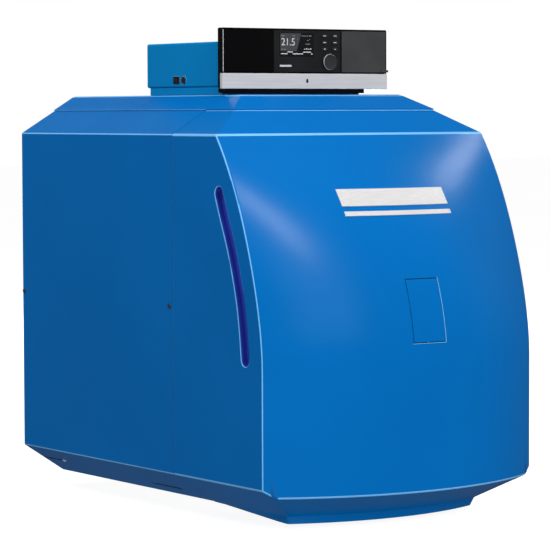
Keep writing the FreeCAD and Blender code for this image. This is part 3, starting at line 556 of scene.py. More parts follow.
    @classmethod
    def finish(cls, piece: bpy.types.Object, kind: str, **settings: Any) -> None:
        """Add a modifier and apply it.

        Args:
            piece: the piece to work on.
            kind: the modifier's type.
            settings: the modifier's properties.
        """
        cls.only(piece)
        modifier = piece.modifiers.new(kind.lower(), kind)
        for name, value in settings.items():
            setattr(modifier, name, value)
        bpy.ops.object.modifier_apply(modifier=modifier.name)

    @classmethod
    def round_edges(cls, piece: bpy.types.Object, width: float, segments: int = 3,
                    angle: float = 35.0) -> None:
        """Round every edge sharper than an angle."""
        cls.finish(piece, "BEVEL", width=width, segments=segments, limit_method="ANGLE",
                   angle_limit=math.radians(angle), use_clamp_overlap=True, harden_normals=False)

    @classmethod
    def cut(cls, piece: bpy.types.Object, cutters: Iterable[bpy.types.Object]) -> None:
        """Cut cutters out of a piece and throw them away.

        Args:
            piece: the piece to cut.
            cutters: the pieces to take away from it.
        """
        for cutter in cutters:
            cls.finish(piece, "BOOLEAN", operation="DIFFERENCE", solver="EXACT", object=cutter)
            bpy.data.objects.remove(cutter, do_unlink=True)

    @classmethod
    def join(cls, name: str, parts: Sequence[bpy.types.Object]) -> bpy.types.Object:
        """Join pieces into one mesh.

        Args:
            name: the joined piece's name.
            parts: the pieces to join.

        Returns:
            The joined piece.
        """
        cls.clear()
        for part in parts:
            part.select_set(True)
        bpy.context.view_layer.objects.active = parts[0]
        bpy.ops.object.join()
        parts[0].name = name
        parts[0].data.name = name
        return parts[0]

    @classmethod
    def copy(cls, piece: bpy.types.Object, name: str, shift: Sequence[float]) -> bpy.types.Object:
        """Return a moved copy with its own mesh.

        Args:
            piece: the piece to copy.
            name: the copy's name.
            shift: how far the copy moves.

        Returns:
            The copy.
        """
        twin = piece.copy()
        twin.data = piece.data.copy()
        twin.name = name
        twin.data.name = name
        bpy.context.scene.collection.objects.link(twin)
        twin.location = shift
        cls.apply_place(twin)
        return twin

    @classmethod
    def mirror(cls, piece: bpy.types.Object, name: str) -> bpy.types.Object:
        """Return a copy reflected to the other side of X = 0.

        Args:
            piece: the piece to reflect.
            name: the copy's name.

        Returns:
            The reflected copy.
        """
        twin = cls.copy(piece, name, (0.0, 0.0, 0.0))
        twin.scale = (-1.0, 1.0, 1.0)
        cls.apply_place(twin)
        cls.outward(twin)
        return twin

    @classmethod
    def outward(cls, piece: bpy.types.Object) -> None:
        """Merge doubles and turn all faces outwards.

        Args:
            piece: the piece to mend.
        """
        cls.open_whole(piece)
        bpy.ops.mesh.remove_doubles(threshold=MERGE_GAP)
        bpy.ops.mesh.normals_make_consistent(inside=False)
        cls.leave()

    @classmethod
    def thicken(cls, piece: bpy.types.Object, thickness: float, inner: Vector) -> None:
        """Give a sheet its thickness on the side that faces an inner point.

        Args:
            piece: the sheet.
            thickness: its wall.
            inner: a point on the inner side.
        """
        face = max(piece.data.polygons, key=lambda polygon: polygon.area)
        if face.normal.dot(face.center - inner) < 0.0:
            cls.open_whole(piece)
            bpy.ops.mesh.flip_normals()
            cls.leave()
        cls.finish(piece, "SOLIDIFY", thickness=thickness, offset=-1.0, use_even_offset=True)

    @classmethod
    def bevel_picked(cls, piece: bpy.types.Object, width: float, segments: int,
                     test: Test, sharp: float = 0.0) -> None:
        """Round the edges that a test picks, and paint a highlight on the rounding.

        Args:
            piece: the piece to work on.
            width: how far the rounding reaches from the edge.
            segments: faces across the rounding.
            test: told an edge's middle and direction.
            sharp: leaves out edges flatter than this many degrees.
        """
        cls.add_highlight_slot(piece)
        cls.pick(piece, "EDGE", test)
        shape = bmesh.from_edit_mesh(piece.data)
        for edge in shape.edges:
            if edge.select and edge.calc_face_angle(math.pi) < math.radians(sharp):
                edge.select_set(False)
        bmesh.update_edit_mesh(piece.data)
        bpy.ops.mesh.bevel(offset=width, segments=segments, affect="EDGES", clamp_overlap=False,
                           material=1)
        cls.leave()

    @staticmethod
    def add_highlight_slot(piece: bpy.types.Object) -> None:
        """Give a piece a second slot, for the painted highlight on its folds."""
        while len(piece.data.materials) < 2:
            piece.data.materials.append(None)

    @classmethod
    def mark(cls, piece: bpy.types.Object, test: Test) -> None:
        """Paint a highlight on the faces that a test picks.

        Args:
            piece: the piece to mark.
            test: told a face's middle and normal.
        """
        cls.add_highlight_slot(piece)
        for polygon in piece.data.polygons:
            if test(polygon.center, polygon.normal):
                polygon.material_index = 1

    @classmethod
    def smooth(cls, piece: bpy.types.Object, angle: float = 30.0) -> None:
        """Shade a piece smooth below an angle, with its large flat faces kept flat.

        Args:
            piece: the piece to shade.
            angle: edges sharper than this many degrees stay hard.
        """
        cls.only(piece)
        bpy.ops.object.shade_smooth_by_angle(angle=math.radians(angle))
        cls.finish(piece, "WEIGHTED_NORMAL", mode="FACE_AREA", weight=50, keep_sharp=True)

    @classmethod
    def folded(cls, name: str, corners: Sequence[tuple[float, float]], y0: float, y1: float,
               thickness: float) -> bpy.types.Object:
        """Fold a sheet along X-Z corners, as on a press brake.

        Args:
            name: the piece's name.
            corners: outer X-Z corners in metres, first free edge to last.
            y0: front end.
            y1: rear end.
            thickness: the sheet's thickness, added on the inner side.

        Returns:
            The sheet with rounded folds.
        """
        cls.clear()
        (x0, z0), (x1, z1) = corners[0], corners[1]
        tilt = math.atan2(z0 - z1, x1 - x0)
        bpy.ops.mesh.primitive_plane_add(size=1.0, rotation=(0.0, tilt, 0.0),
                                         location=((x0 + x1) / 2, (y0 + y1) / 2, (z0 + z1) / 2))
        bpy.context.active_object.scale = (math.hypot(x1 - x0, z1 - z0), y1 - y0, 1.0)
        sheet = cls.settle(name)
        for (last_x, last_z), (next_x, next_z) in zip(corners[1:], corners[2:]):
            middle = Vector((last_x, (y0 + y1) / 2, last_z))
            cls.pick(sheet, "EDGE", lambda place, along: (place - middle).length < HAIR)
            bpy.ops.mesh.extrude_region_move(
                TRANSFORM_OT_translate={"value": (next_x - last_x, 0.0, next_z - last_z)})
            cls.leave()
        # Painted highlight: the folds' rounding gets the lighter second finish.
        cls.bevel_picked(sheet, FOLD_WIDTH, 3, lambda place, along: abs(along.y) > 0.99, sharp=12.0)
        cls.thicken(sheet, thickness, Vector((0.0, (y0 + y1) / 2, 0.4)))
        cls.round_edges(sheet, CUT_EDGE_WIDTH, 2, 60.0)
        cls.smooth(sheet)
        return sheet


@dataclass
class Assembly:
    """A sub-assembly: pieces that ride on one body."""

    paints: Paints
    body: str = "boiler"

    def place(self, piece: bpy.types.Object, slot: str, nodes: Sequence[str] = (),
              body: Optional[str] = None) -> bpy.types.Object:
        """Dress a piece, hang it on its body and hide the CAD nodes it replaces.

        Args:
            piece: the finished piece.
            slot: the finish's name.
            nodes: CAD nodes that it replaces.
            body: the body, if not the assembly's own.

        Returns:
            The same piece.
        """
        self.paints.dress(piece, slot)
        slot in self.paints.recorded
        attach(piece, body or self.body)
        if nodes:
            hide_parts(*nodes)
        LOG.info("%s: %d faces, %s", piece.name, len(piece.data.polygons), slot)
        return piece


# ---------------------------------------------------------------- hood


@dataclass
class Hood(Assembly):
    """The pull-off burner hood: a double-curved shell with grips, a flap and trims."""

    body: str = "hood"
    half_width: float = 0.300
    rear_y: float = -0.118
    corner_radius: float = 0.006
    wall: float = 0.002
    upright_top: float = 0.290
    fold_z: float = 0.700
    corner_y: float = -0.406
    centre_y: float = -0.497
    heart: Point = (0.0, -0.2, 0.4)
    corner_rise: tuple[float, float, float] = (0.24406, -0.22319, 0.12212)
    centre_rise: tuple[float, float, float] = (0.22297, -0.06143, 0.04446)
    side_edge_z: float = 0.081
    front_edge_z: float = 0.068
    edge_band: float = 0.020
    skirt: tuple[tuple[float, float, float, float], ...] = (
        (0.009, 0.206, -0.3485, -0.394), (0.0235, 0.212, -0.353, -0.398))
    lip_climb: float = 0.0125
    lip_climb_y: float = -0.335
    lip_climb_run: float = 0.20
    row_heights: tuple[float, ...] = (
        0.12, 0.18, 0.24, 0.29, 0.31, 0.35, 0.37, 0.39, 0.41, 0.43,
        *(0.46 + 0.02 * step for step in range(13)))
    crown: tuple[tuple[float, float, float, float], ...] = (
        (0.7425, 0.2262, -0.2112, -0.2322), (0.7449, 0.2272, -0.212, -0.233),
        (0.7699, 0.184, -0.172, -0.179), (0.772, 0.178, -0.166, -0.172))
    top_folds: tuple[tuple[float, float], ...] = (
        (0.700, 0.0030), (0.7425, 0.0009), (0.7699, 0.0016))
    grip_spine: tuple[tuple[float, float], ...] = (
        (-0.2715, 0.596), (-0.286, 0.560), (-0.3085, 0.5075), (-0.3250, 0.460), (-0.3385, 0.412),
        (-0.3480, 0.360), (-0.3540, 0.3075))
    grip_half: float = 0.0128
    grip_land: float = 0.0022
    grip_depth: float = 0.012
    grip_floor: float = 0.010
    flap_half_width: float = 0.036
    flap_z: tuple[float, float] = (0.332, 0.445)
    flap_gap: float = 0.0013
    trim_half_width: float = 0.118
    trim_thickness: float = 0.0014
    trim_bands: tuple[tuple[float, float], ...] = ((0.556, 0.564), (0.573, 0.603))
    columns: tuple[float, ...] = tuple(step * 0.012 for step in range(-24, 25))

    def level(self, z: float) -> tuple[float, float]:
        """Return the front's Y at the corners and on the centre line, at one height.

        Args:
            z: the height.

        Returns:
            The Y at the corners and the Y on the centre line.
        """
        share = max(0.0, (z - self.upright_top) / (self.fold_z - self.upright_top))
        ends = []
        for start, rise in ((self.corner_y, self.corner_rise), (self.centre_y, self.centre_rise)):
            ends.append(start + sum(factor * share ** power
                                    for power, factor in enumerate(rise, 2)))
        return ends[0], ends[1]

    @staticmethod
    def arch(x: float, half_width: float, corner_y: float, centre_y: float) -> float:
        """Return the Y of a circular arch at one X.

        Args:
            x: distance from the centre line.
            half_width: half the arch's width.
            corner_y: Y of its ends.
            centre_y: Y of its middle.

        Returns:
            The Y.
        """
        sagitta = corner_y - centre_y
        radius = (half_width ** 2 + sagitta ** 2) / (2 * sagitta)
        return centre_y + radius - math.sqrt(radius ** 2 - x ** 2)

    def front_y(self, x: float, z: float) -> float:
        """Return the front surface's Y."""
        return self.arch(x, self.half_width, *self.level(z))

    def ring(self, z: float, half_width: float, corner_y: float, centre_y: float,
             edge: bool = False) -> list[Vector]:
        """Return the plan outline at one level, from the left rear by the front to the right rear.

        Args:
            z: height of the front.
            half_width: half the width.
            corner_y: Y where side and front would meet.
            centre_y: Y of the front's middle.
            edge: True for the lower edge, which climbs to the sides.

        Returns:
            The ring's points, the same number at every level.
        """
        sagitta = corner_y - centre_y
        radius = (half_width ** 2 + sagitta ** 2) / (2 * sagitta)
        centre = centre_y + radius
        fillet = self.corner_radius
        lean = math.asin((half_width - fillet) / (radius - fillet))
        hub = Vector((half_width - fillet, centre - math.cos(lean) * (radius - fillet), z))
        right = []
        limit = math.sin(lean) * radius
        for x in self.columns:
            if x > 1e-9:
                place = x * min(1.0, (limit - 0.003) / self.columns[-1])
                right.append(Vector((place, centre - math.sqrt(radius ** 2 - place ** 2), z)))
        for step in range(9):
            turn = (math.pi / 2 - lean) * (1 - step / 8)
            right.append(hub + Vector((math.cos(turn), -math.sin(turn), 0.0)) * fillet)
        start_y = right[-1].y
        for step in range(1, 9):
            right.append(Vector((half_width, start_y + (self.rear_y - start_y) * step / 8, z)))
        if edge:
            climb = self.side_edge_z - self.front_edge_z
            for point in right:
                share = max(0.0, 1.0 - (half_width - point.x) / self.edge_band)
                point.z = self.front_edge_z + climb * share
        left = [Vector((-point.x, point.y, point.z)) for point in reversed(right)]
        return left + [Vector((0.0, centre_y, z))] + right

    def rings(self) -> list[list[Vector]]:
        """Return all rings from the lip up to the flat top.

        Returns:
            The rings, bottom first.
        """
        lip, foot = (self.ring(*numbers) for numbers in self.skirt)
        for point in lip:
            share = (point.y - self.lip_climb_y) / self.lip_climb_run
            point.z += self.lip_climb * max(0.0, min(1.0, share))
        edge = self.ring(self.front_edge_z, self.half_width, self.corner_y, self.centre_y, True)
        front = [self.ring(z, self.half_width, *self.level(z))
                 for z in sorted(self.row_heights + self.flap_z)]
        return [lip, foot, edge] + front + [self.ring(*numbers) for numbers in self.crown]

    def lofted(self, name: str, rings: list[list[Vector]], skip: Callable[[Vector], bool],
               cap: bool) -> bpy.types.Object:
        """Return a sheet of four-sided faces through rings of points.

        Args:
            name: the piece's name.
            rings: rows of points, bottom first, left to right.
            skip: tells the middles of faces to leave out.
            cap: True to close the top ring with a flat roof.

        Returns:
            The sheet, without thickness.
        """
        shape = bmesh.new()
        rows = [[shape.verts.new(point) for point in ring] for ring in rings]
        for low, high in zip(rows, rows[1:]):
            for index in range(len(low) - 1):
                corners = (low[index], low[index + 1], high[index + 1], high[index])
                if not skip(sum((corner.co for corner in corners), Vector()) / 4):
                    shape.faces.new(corners)
        if cap:
            top = rows[-1]
            last = len(top) - 1
            for index in range(last // 2):
                corners = [top[index], top[index + 1], top[last - index - 1], top[last - index]]
                if index + 1 >= last - index - 1:
                    del corners[2]
                shape.faces.new(corners)
        return Bench.from_shape(name, shape)

    def shell(self) -> None:
        """Build the shell with its flap window and grip mouths."""
        low, high = self.flap_z

        def window(place: Vector) -> bool:
            """Tell whether a face's middle lies in the flap's window."""
            return abs(place.x) < self.flap_half_width and low < place.z < high

        skin = self.lofted("hood_skin", self.rings(), window, True)
        # Each rounding below carries the painted highlight in the second slot: a lighter blue for
        # the light that folds and edges catch.
        for height, width in self.top_folds:
            Bench.bevel_picked(skin, width, 3, lambda place, along: (
                abs(place.z - height) < HAIR and abs(along.z) < 0.1))
        Bench.bevel_picked(skin, 0.0025, 3, self.on_lower_edge)
        Bench.thicken(skin, self.wall, Vector(self.heart))
        Bench.cut(skin, [self.grip_cutter(side) for side in (-1.0, 1.0)])
        Bench.bevel_picked(skin, 0.0012, 3, self.on_grip_mouth, sharp=60.0)
        Bench.bevel_picked(skin, 0.0011, 2, lambda place, along: abs(place.y - self.rear_y) < HAIR,
                           sharp=60.0)
        Bench.bevel_picked(skin, 0.0009, 2, self.on_window, sharp=60.0)
        # Painted highlight on the middle faces of the rounding between side and front.
        Bench.mark(skin, self.on_corner_highlight)
        Bench.smooth(skin, 28.0)
        self.place(skin, "blue_paint", ["hood_shell"])

    def on_lower_edge(self, place: Vector, along: Vector) -> bool:
        """Tell whether an edge belongs to the front's and sides' lower edge.

        Args:
            place: the edge's middle.
            along: its direction.

        Returns:
            True for the edges to round.
        """
        if abs(along.z) > 0.8:
            return False
        climb = self.side_edge_z - self.front_edge_z
        share = max(0.0, 1.0 - (self.half_width - abs(place.x)) / self.edge_band)
        height = self.front_edge_z + climb * share
        front = self.arch(min(abs(place.x), self.half_width), self.half_width, self.corner_y,
                          self.centre_y)
        return abs(place.z - height) < 8e-4 and (place.y < front + 0.003 or abs(place.x) > 0.2985)

    def on_grip_mouth(self, place: Vector, along: Vector) -> bool:
        """Tell whether an edge lies round a grip's mouth on the outer face."""
        return (abs(place.x) > self.half_width - 1e-4 and 0.28 < place.z < 0.62
                and self.front_y(0.294, place.z) + 0.012 < place.y < -0.22)

    def on_window(self, place: Vector, along: Vector) -> bool:
        """Tell whether an edge lies round the flap's window on the outer face, right or below;
        these get the painted highlight.

        Args:
            place: the edge's middle.
            along: its direction, not used.

        Returns:
            True for the edges to round.
        """
        low, high = self.flap_z
        upright = abs(place.x - self.flap_half_width) < 1e-4 and low - 1e-4 < place.z < high + 1e-4
        level = abs(place.z - low) < 1e-4 and abs(place.x) < self.flap_half_width + 1e-4
        return (upright or level) and place.y < self.front_y(place.x, place.z) + 0.0005

    def on_corner_highlight(self, place: Vector, normal: Vector) -> bool:
        """Tell whether a face is in the middle of the rounding between side and front, where the
        highlight is painted.
        """
        lean = math.degrees(math.atan2(abs(normal.x), -normal.y))
        return (abs(place.x) > 0.29 and self.side_edge_z < place.z < self.fold_z
                and 45.0 < lean < 68.0)

    def grip_line(self, grow: float) -> list[tuple[float, float]]:
        """Return the grip mouth's outline as Y-Z points, widened by grow.

        Args:
            grow: how far the outline is moved out.

        Returns:
            The outline's points.
        """
        spine = self.grip_spine
        half = self.grip_half + grow
        left: list[tuple[float, float]] = []
        right: list[tuple[float, float]] = []
        dense = []
        for index in range(len(spine) - 1):
            for step in range(4):
                share = step / 4
                previous = spine[max(0, index - 1)]
                following = spine[min(len(spine) - 1, index + 2)]
                dense.append(tuple(self.glide(previous[k], spine[index][k], spine[index + 1][k],
                                              following[k], share) for k in (0, 1)))
        dense.append(spine[-1])
        for index, (y, z) in enumerate(dense):
            before = dense[max(0, index - 1)]
            after = dense[min(len(dense) - 1, index + 1)]
            along = Vector((after[0] - before[0], after[1] - before[1])).normalized()
            across = Vector((-along.y, along.x)) * half
            left.append((y + across.x, z + across.y))
            right.append((y - across.x, z - across.y))
        ends = []
        for middle, corner in ((dense[0], right[0]), (dense[-1], left[-1])):
            centre = Vector(middle)
            arm = Vector(corner) - centre
            ends.append([tuple(centre + Matrix.Rotation(-math.pi * step / 10, 2) @ arm)
                         for step in range(1, 10)])
        return left + ends[1] + right[::-1] + ends[0]

    @staticmethod
    def glide(before: float, start: float, end: float, after: float, share: float) -> float:
        """Return a smooth value between start and end.

        Args:
            before: the value before start.
            start: the value at share 0.
            end: the value at share 1.
            after: the value after end.
            share: the place between start and end.

        Returns:
            The value.
        """
        slope_in = (end - before) / 2
        slope_out = (after - start) / 2
        square = share * share
        cube = square * share
        return ((2 * cube - 3 * square + 1) * start + (cube - 2 * square + share) * slope_in
                + (3 * square - 2 * cube) * end + (cube - square) * slope_out)

    @staticmethod
    def prism(name: str, outline: list[tuple[float, float]], x0: float,
              x1: float) -> bpy.types.Object:
        """Return a prism of a Y-Z outline between two X values.

        Args:
            name: the piece's name.
            outline: its Y-Z points.
            x0: its first end.
            x1: its other end.

        Returns:
            The prism.
        """
        shape = bmesh.new()
        face = shape.faces.new([shape.verts.new((x0, y, z)) for y, z in outline])
        swept = bmesh.ops.extrude_face_region(shape, geom=[face])
        moved = [item for item in swept["geom"] if isinstance(item, bmesh.types.BMVert)]
        bmesh.ops.translate(shape, verts=moved, vec=(x1 - x0, 0.0, 0.0))
        bmesh.ops.recalc_face_normals(shape, faces=shape.faces)
        return Bench.from_shape(name, shape)

    def grip_cutter(self, side: float) -> bpy.types.Object:
        """Return the cutter of one grip mouth."""
        low, high = sorted((side * (self.half_width - 0.006), side * (self.half_width + 0.004)))
        return self.prism("grip_cutter", self.grip_line(0.0), low, high)

    def grips(self) -> None:
        """Build the two pressed trays behind the grip mouths."""
        trays = []
        for side in (-1.0, 1.0):
            face = side * (self.half_width - self.wall)
            deep = side * (self.half_width - self.wall - self.grip_depth)
            tray = self.prism("grip", self.grip_line(self.grip_land), *sorted((face, deep)))
            inner = side * (self.half_width - self.wall - self.grip_floor)
            Bench.cut(tray, [self.prism("grip_hollow", self.grip_line(0.0),
                                        *sorted((face + side * 0.001, inner)))])
            Bench.round_edges(tray, 0.0012, 3, 40.0)
            trays.append(tray)
        both = Bench.join("grip_channels", trays)
        Bench.smooth(both)
        self.place(both, "violet_plastic", ["grip_trays"])

    def patch(self, name: str, half_width: float, low: float, high: float, proud: float,
              steps: int) -> bpy.types.Object:
        """Return a sheet that follows the front surface.

        Args:
            name: the piece's name.
            half_width: half its width.
            low: lower edge.
            high: upper edge.
            proud: how far it stands in front of the surface.
            steps: faces across.

        Returns:
            The sheet, without thickness.
        """
        rows = []
        for step in range(9):
            z = low + (high - low) * step / 8
            xs = [half_width * (2 * index / steps - 1) for index in range(steps + 1)]
            rows.append([Vector((x, self.front_y(x, z) - proud, z)) for x in xs])
        return self.lofted(name, rows, lambda place: False, False)

    def flap(self) -> None:
        """Build the service flap."""
        gap = self.flap_gap
        low, high = self.flap_z
        panel = self.patch("service_flap_panel", self.flap_half_width - gap, low + gap, high - gap,
                           0.0, 12)
        Bench.thicken(panel, self.wall, Vector((0.0, 0.0, 0.4)))
        Bench.round_edges(panel, 0.0006, 3, 50.0)
        Bench.smooth(panel, 35.0)
        self.place(panel, "blue_paint", ["service_flap"], "service_flap")

    def trims(self) -> None:
        """Build the plain bar and plate on the front."""
        bands = []
        for low, high in self.trim_bands:
            band = self.patch("trim", self.trim_half_width, low, high, self.trim_thickness, 40)
            Bench.thicken(band, self.trim_thickness, Vector((0.0, 0.0, 0.5)))
            Bench.round_edges(band, 0.0005, 3, 50.0)
            bands.append(band)
        both = Bench.join("front_trims", bands)
        Bench.smooth(both, 35.0)
        self.place(both, "silver_trim", ["badge_trims"])

    def build(self) -> None:
        """Build the whole hood."""
        self.shell()
        self.grips()
        self.flap()
        self.trims()


# ---------------------------------------------------------------- casing


@dataclass
class Casing(Assembly):
    """The folded sheets round the boiler block."""

    half_width: float = 0.300
    front_y: float = -0.117
    rear_y: float = 0.440
    split_y: float = 0.125
    sheet: float = 0.0015
    side_line: tuple[tuple[float, float], ...] = (
        (-0.212, 0.024), (-0.300, 0.081), (-0.300, 0.700), (-0.216, 0.7488))
    cover_line: tuple[tuple[float, float], ...] = (
        (-0.227, 0.7449), (-0.184, 0.7699), (-0.178, 0.772),
        (0.178, 0.772), (0.184, 0.7699), (0.227, 0.7449))
    cover_gap: float = 0.0005
    slope_foot: tuple[float, float] = (0.212, 0.024)
    slope_run: float = 0.088
    slope_rise: float = 0.057
    slots: tuple[tuple[float, float, float], ...] = ((0.355, 0.434, 0.260), (-0.049, 0.055, 0.240))
    plug_hole: Point = (-0.260, 0.350, 0.055)
    plug_seat: Point = (-0.2607, 0.350, 0.0552)
    screw_z: float = 0.388
    screw_insets: tuple[float, float] = (0.011, 0.006)

    def lean(self) -> float:
        """Return the lower sloping side's angle from level."""
        return math.atan2(self.slope_rise, self.slope_run)

    def slot_cutters(self) -> list[bpy.types.Object]:
        """Return the cutters of the slots and the hole in the left sloping side.

        Returns:
            The cutters.
        """
        cutters = []
        foot_x, foot_z = self.slope_foot
        for low_y, high_y, x in self.slots:
            z = foot_z + self.slope_rise * (x - foot_x) / self.slope_run
            Bench.clear()
            bpy.ops.mesh.primitive_cube_add(size=1.0, location=(-x, (low_y + high_y) / 2, z),
                                            rotation=(0.0, self.lean(), 0.0))
            bpy.context.active_object.scale = (0.008, high_y - low_y, 0.03)
            cutter = Bench.settle("slot_cutter")
            Bench.round_edges(cutter, 0.0035, 4, 60.0)
            cutters.append(cutter)
        hole = Bench.tilted_drum("hole_cutter", self.plug_hole, self.lean(), 0.0025, 0.03, 24)
        cutters.append(hole)
        return cutters

    def sides(self) -> None:
        """Fold the two side panels."""
        left = Bench.folded("left_side_sheet", self.side_line, self.front_y, self.rear_y,
                            self.sheet)
        cutters = self.slot_cutters()
        for y in (self.front_y + self.screw_insets[0], self.rear_y - self.screw_insets[1]):
            start = (-self.half_width - 0.005, y, self.screw_z)
            cutters.append(Bench.drum("screw_hole", start, "X", 0.0026, 0.01, 20))
        Bench.cut(left, cutters)
        Bench.smooth(left)
        right = Bench.mirror(left, "right_side_sheet")
        Bench.smooth(right)
        self.place(left, "blue_paint", ["left_side_panel"])
        self.place(right, "blue_paint", ["right_side_panel"])

    def plug(self) -> None:
        """Put the light plug in the hole of the left sloping side."""
        plug = Bench.tilted_drum("slope_plug", self.plug_seat, self.lean() + math.pi, 0.0042,
                                 0.003, 32)
        Bench.round_edges(plug, 0.0011, 3, 40.0)
        Bench.smooth(plug)
        self.place(plug, "silver_trim")

    @staticmethod
    def on_painted_highlight(place: Vector, normal: Vector) -> bool:
        """Return whether a cover's face is its cut lower edge or its upper fold, which get the
        painted highlight.
        """
        return place.z < 0.7462 or (0.1765 < abs(place.x) < 0.1855 and normal.z > 0.5)

    def covers(self) -> None:
        """Fold the two roof covers."""
        front = Bench.folded("front_roof_sheet", self.cover_line, self.front_y,
                             self.split_y - self.cover_gap, self.sheet)
        rear = Bench.folded("rear_roof_sheet", self.cover_line, self.split_y + self.cover_gap,
                            self.rear_y, self.sheet)
        for cover in (front, rear):
            # Painted highlight on the covers' cut lower edges and upper folds.
            Bench.bevel_picked(
                cover, 0.0006, 2,
                lambda place, along: place.z < 0.7452 and abs(along.y) > 0.9, sharp=50.0)
            Bench.mark(cover, self.on_painted_highlight)
        self.place(front, "blue_paint", ["front_top_cover"])
        self.place(rear, "blue_paint", ["rear_top_cover"], "rear_top_cover")

    def build(self) -> None:
        """Build the casing's sheets."""
        self.sides()
        self.plug()
        self.covers()


# ---------------------------------------------------------------- control unit


@dataclass
class ControlUnit(Assembly):
    """The control unit's lit display, key marks, knob, strip and their small signs."""

    front_y: float = -0.1138
    knob_radius: float = 0.0144
    strip_y: float = -0.114
    strip_sign: tuple[float, float] = (0.002, 0.7965)
    panel_y: float = -0.1145
    panel_z: tuple[float, float] = (0.8146, 0.8914)
    curve: tuple[tuple[float, float, float, float], ...] = (
        (-0.0575, -0.0430, 0.8472, 0.8490), (-0.0430, -0.0310, 0.8505, 0.8523),
        (-0.0310, -0.0075, 0.8472, 0.8490), (-0.0075, 0.0105, 0.8505, 0.8523),
        (0.0105, 0.0145, 0.8472, 0.8490))
    signs: tuple[Point, ...] = (
        (-0.0578, -0.0490, 0.8815), (-0.0320, -0.0255, 0.8815), (-0.0110, -0.0060, 0.8815),
        (-0.0045, -0.0010, 0.8815), (0.0005, 0.0045, 0.8815), (0.0060, 0.0120, 0.8815),
        (0.0020, 0.0050, 0.8730), (0.0065, 0.0080, 0.8745), (-0.0020, 0.0085, 0.8665),
        (-0.0570, -0.0530, 0.8562), (-0.0515, -0.0460, 0.8562), (-0.0210, -0.0190, 0.8755))
    sign_height: float = 0.0016
    mark_height: float = 0.0014
    lines: tuple[tuple[str, float, float, str], ...] = (
        # Painted highlight: a pale line for the light on the bezel's left edge.
        ("cover_line", -0.1868, -0.1857, "lit_mark"),
        # Painted shade: a black line over the groove between the module and the right cover.
        ("painted_groove_shade", 0.0788, 0.0808, "gloss_black"))
    knob_steps: tuple[tuple[float, float], ...] = (
        (0.0008, 0.0), (0.0010, -0.0004), (0.0014, 0.0003), (0.0010, 0.0006))
    flute_pitch: float = 10.0

    def tile(self, x0: float, x1: float, z0: float, z1: float, y: float, depth: float = 0.0004,
             slant: float = 0.0) -> bpy.types.Object:
        """Return a thin raised tile with softened edges on a front face.

        Args:
            x0: left edge.
            x1: right edge.
            z0: lower edge.
            z1: upper edge.
            y: the face that it lies on.
            depth: how far it stands out.
            slant: how far the right edge's foot is pulled to the left.

        Returns:
            The tile.
        """
        tile = Bench.block("tile", (x0, y - depth, z0), (x1, y + 0.0002, z1))
        if slant:
            Bench.pick(tile, "EDGE", lambda place, along: (
                abs(along.y) > 0.9 and place.x > (x0 + x1) / 2 and place.z < (z0 + z1) / 2))
            bpy.ops.transform.translate(value=(-slant, 0.0, 0.0))
            Bench.leave()
        Bench.pick(tile, "FACE", lambda place, normal: normal.y < -0.9)
        bpy.ops.mesh.inset(thickness=min(x1 - x0, z1 - z0) * 0.12, depth=0.0)
        bpy.ops.transform.translate(value=(0.0, -0.0001, 0.0))
        Bench.leave()
        return tile

    def figures(self, words: str, x: float, z: float, height: float) -> bpy.types.Object:
        """Return raised figures, such as a temperature, on the display.

        Args:
            words: the figures to show.
            x: left edge.
            z: foot of the figures.
            height: their height.

        Returns:
            The figures as a mesh.
        """
        Bench.clear()
        bpy.ops.object.text_add(location=(0.0, 0.0, 0.0))
        piece = bpy.context.active_object
        piece.data.body = words
        piece.data.size = height / 0.70
        piece.data.space_character = 0.96
        piece.data.offset = -height * 0.004
        piece.data.extrude = 0.0002
        bpy.ops.object.convert(target="MESH")
        piece = bpy.context.active_object
        piece.location = (x, self.front_y - 0.0003, z)
        piece.rotation_euler = (math.pi / 2, 0.0, 0.0)
        return Bench.settle("figures")

    def display(self) -> None:
        """Build what the display shows."""
        y = self.front_y
        zone = self.tile(-0.0588, -0.0115, 0.8530, 0.8862, y, 0.00005, slant=0.010)
        zone.name = "display_zone"
        self.place(zone, "lit_zone")
        lit = [self.figures("21.5", -0.0572, 0.8636, 0.0136)]
        lit += [self.tile(*edges, y, 0.0003) for edges in self.curve]
        for step in range(4):
            left = 0.0045 * step
            lit.append(self.tile(-0.0050 + left, -0.0022 + left, 0.8562,
                                 0.8576 + 0.0010 * (step % 2), y, 0.0003))
        self.place(Bench.join("display_figures", lit), "lit_mark")
        half = self.sign_height / 2
        dim = [self.tile(x0, x1, z - half, z + half, y, 0.0003) for x0, x1, z in self.signs]
        self.place(Bench.join("display_signs", dim), "dim_mark")

    def key_marks(self) -> None:
        """Put a small light mark on each key."""
        for column in ("left", "right"):
            for row in ("top", "middle", "bottom"):
                node = f"button_{column}_{row}"
                low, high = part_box(node)
                x, z = (low.x + high.x) / 2, (low.z + high.z) / 2
                half = 0.0016 if row == "bottom" else 0.0028
                rise = self.mark_height / 2
                mark = self.tile(x - half, x + half, z - rise, z + rise, low.y, 0.0002)
                mark.name = f"{node}_mark"
                self.place(mark, "lit_mark", body=node)
        # Draw the painted highlight and painted shade lines listed above.
        for name, x0, x1, finish in self.lines:
            line = self.tile(x0, x1, *self.panel_z, self.panel_y, 0.0003)
            line.name = name
            self.place(line, finish)
        plate = self.tile(-0.0605, -0.0345, 0.8238, 0.8274, self.panel_y, 0.0003)
        plate.name = "module_plate"
        self.place(plate, "lit_mark")

    def knob(self) -> None:
        """Turn the fluted knob with its bright rim."""
        low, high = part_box("control_knob")
        x, z = (low.x + high.x) / 2, (low.z + high.z) / 2
        base, face = high.y, low.y
        grip = Bench.drum("knob_grip", (x, base, z), "Y", self.knob_radius, face - base, 72)

        def radial(place: Vector) -> float:
            """Return a point's distance from the knob's axis."""
            return math.hypot(place.x - x, place.z - z)

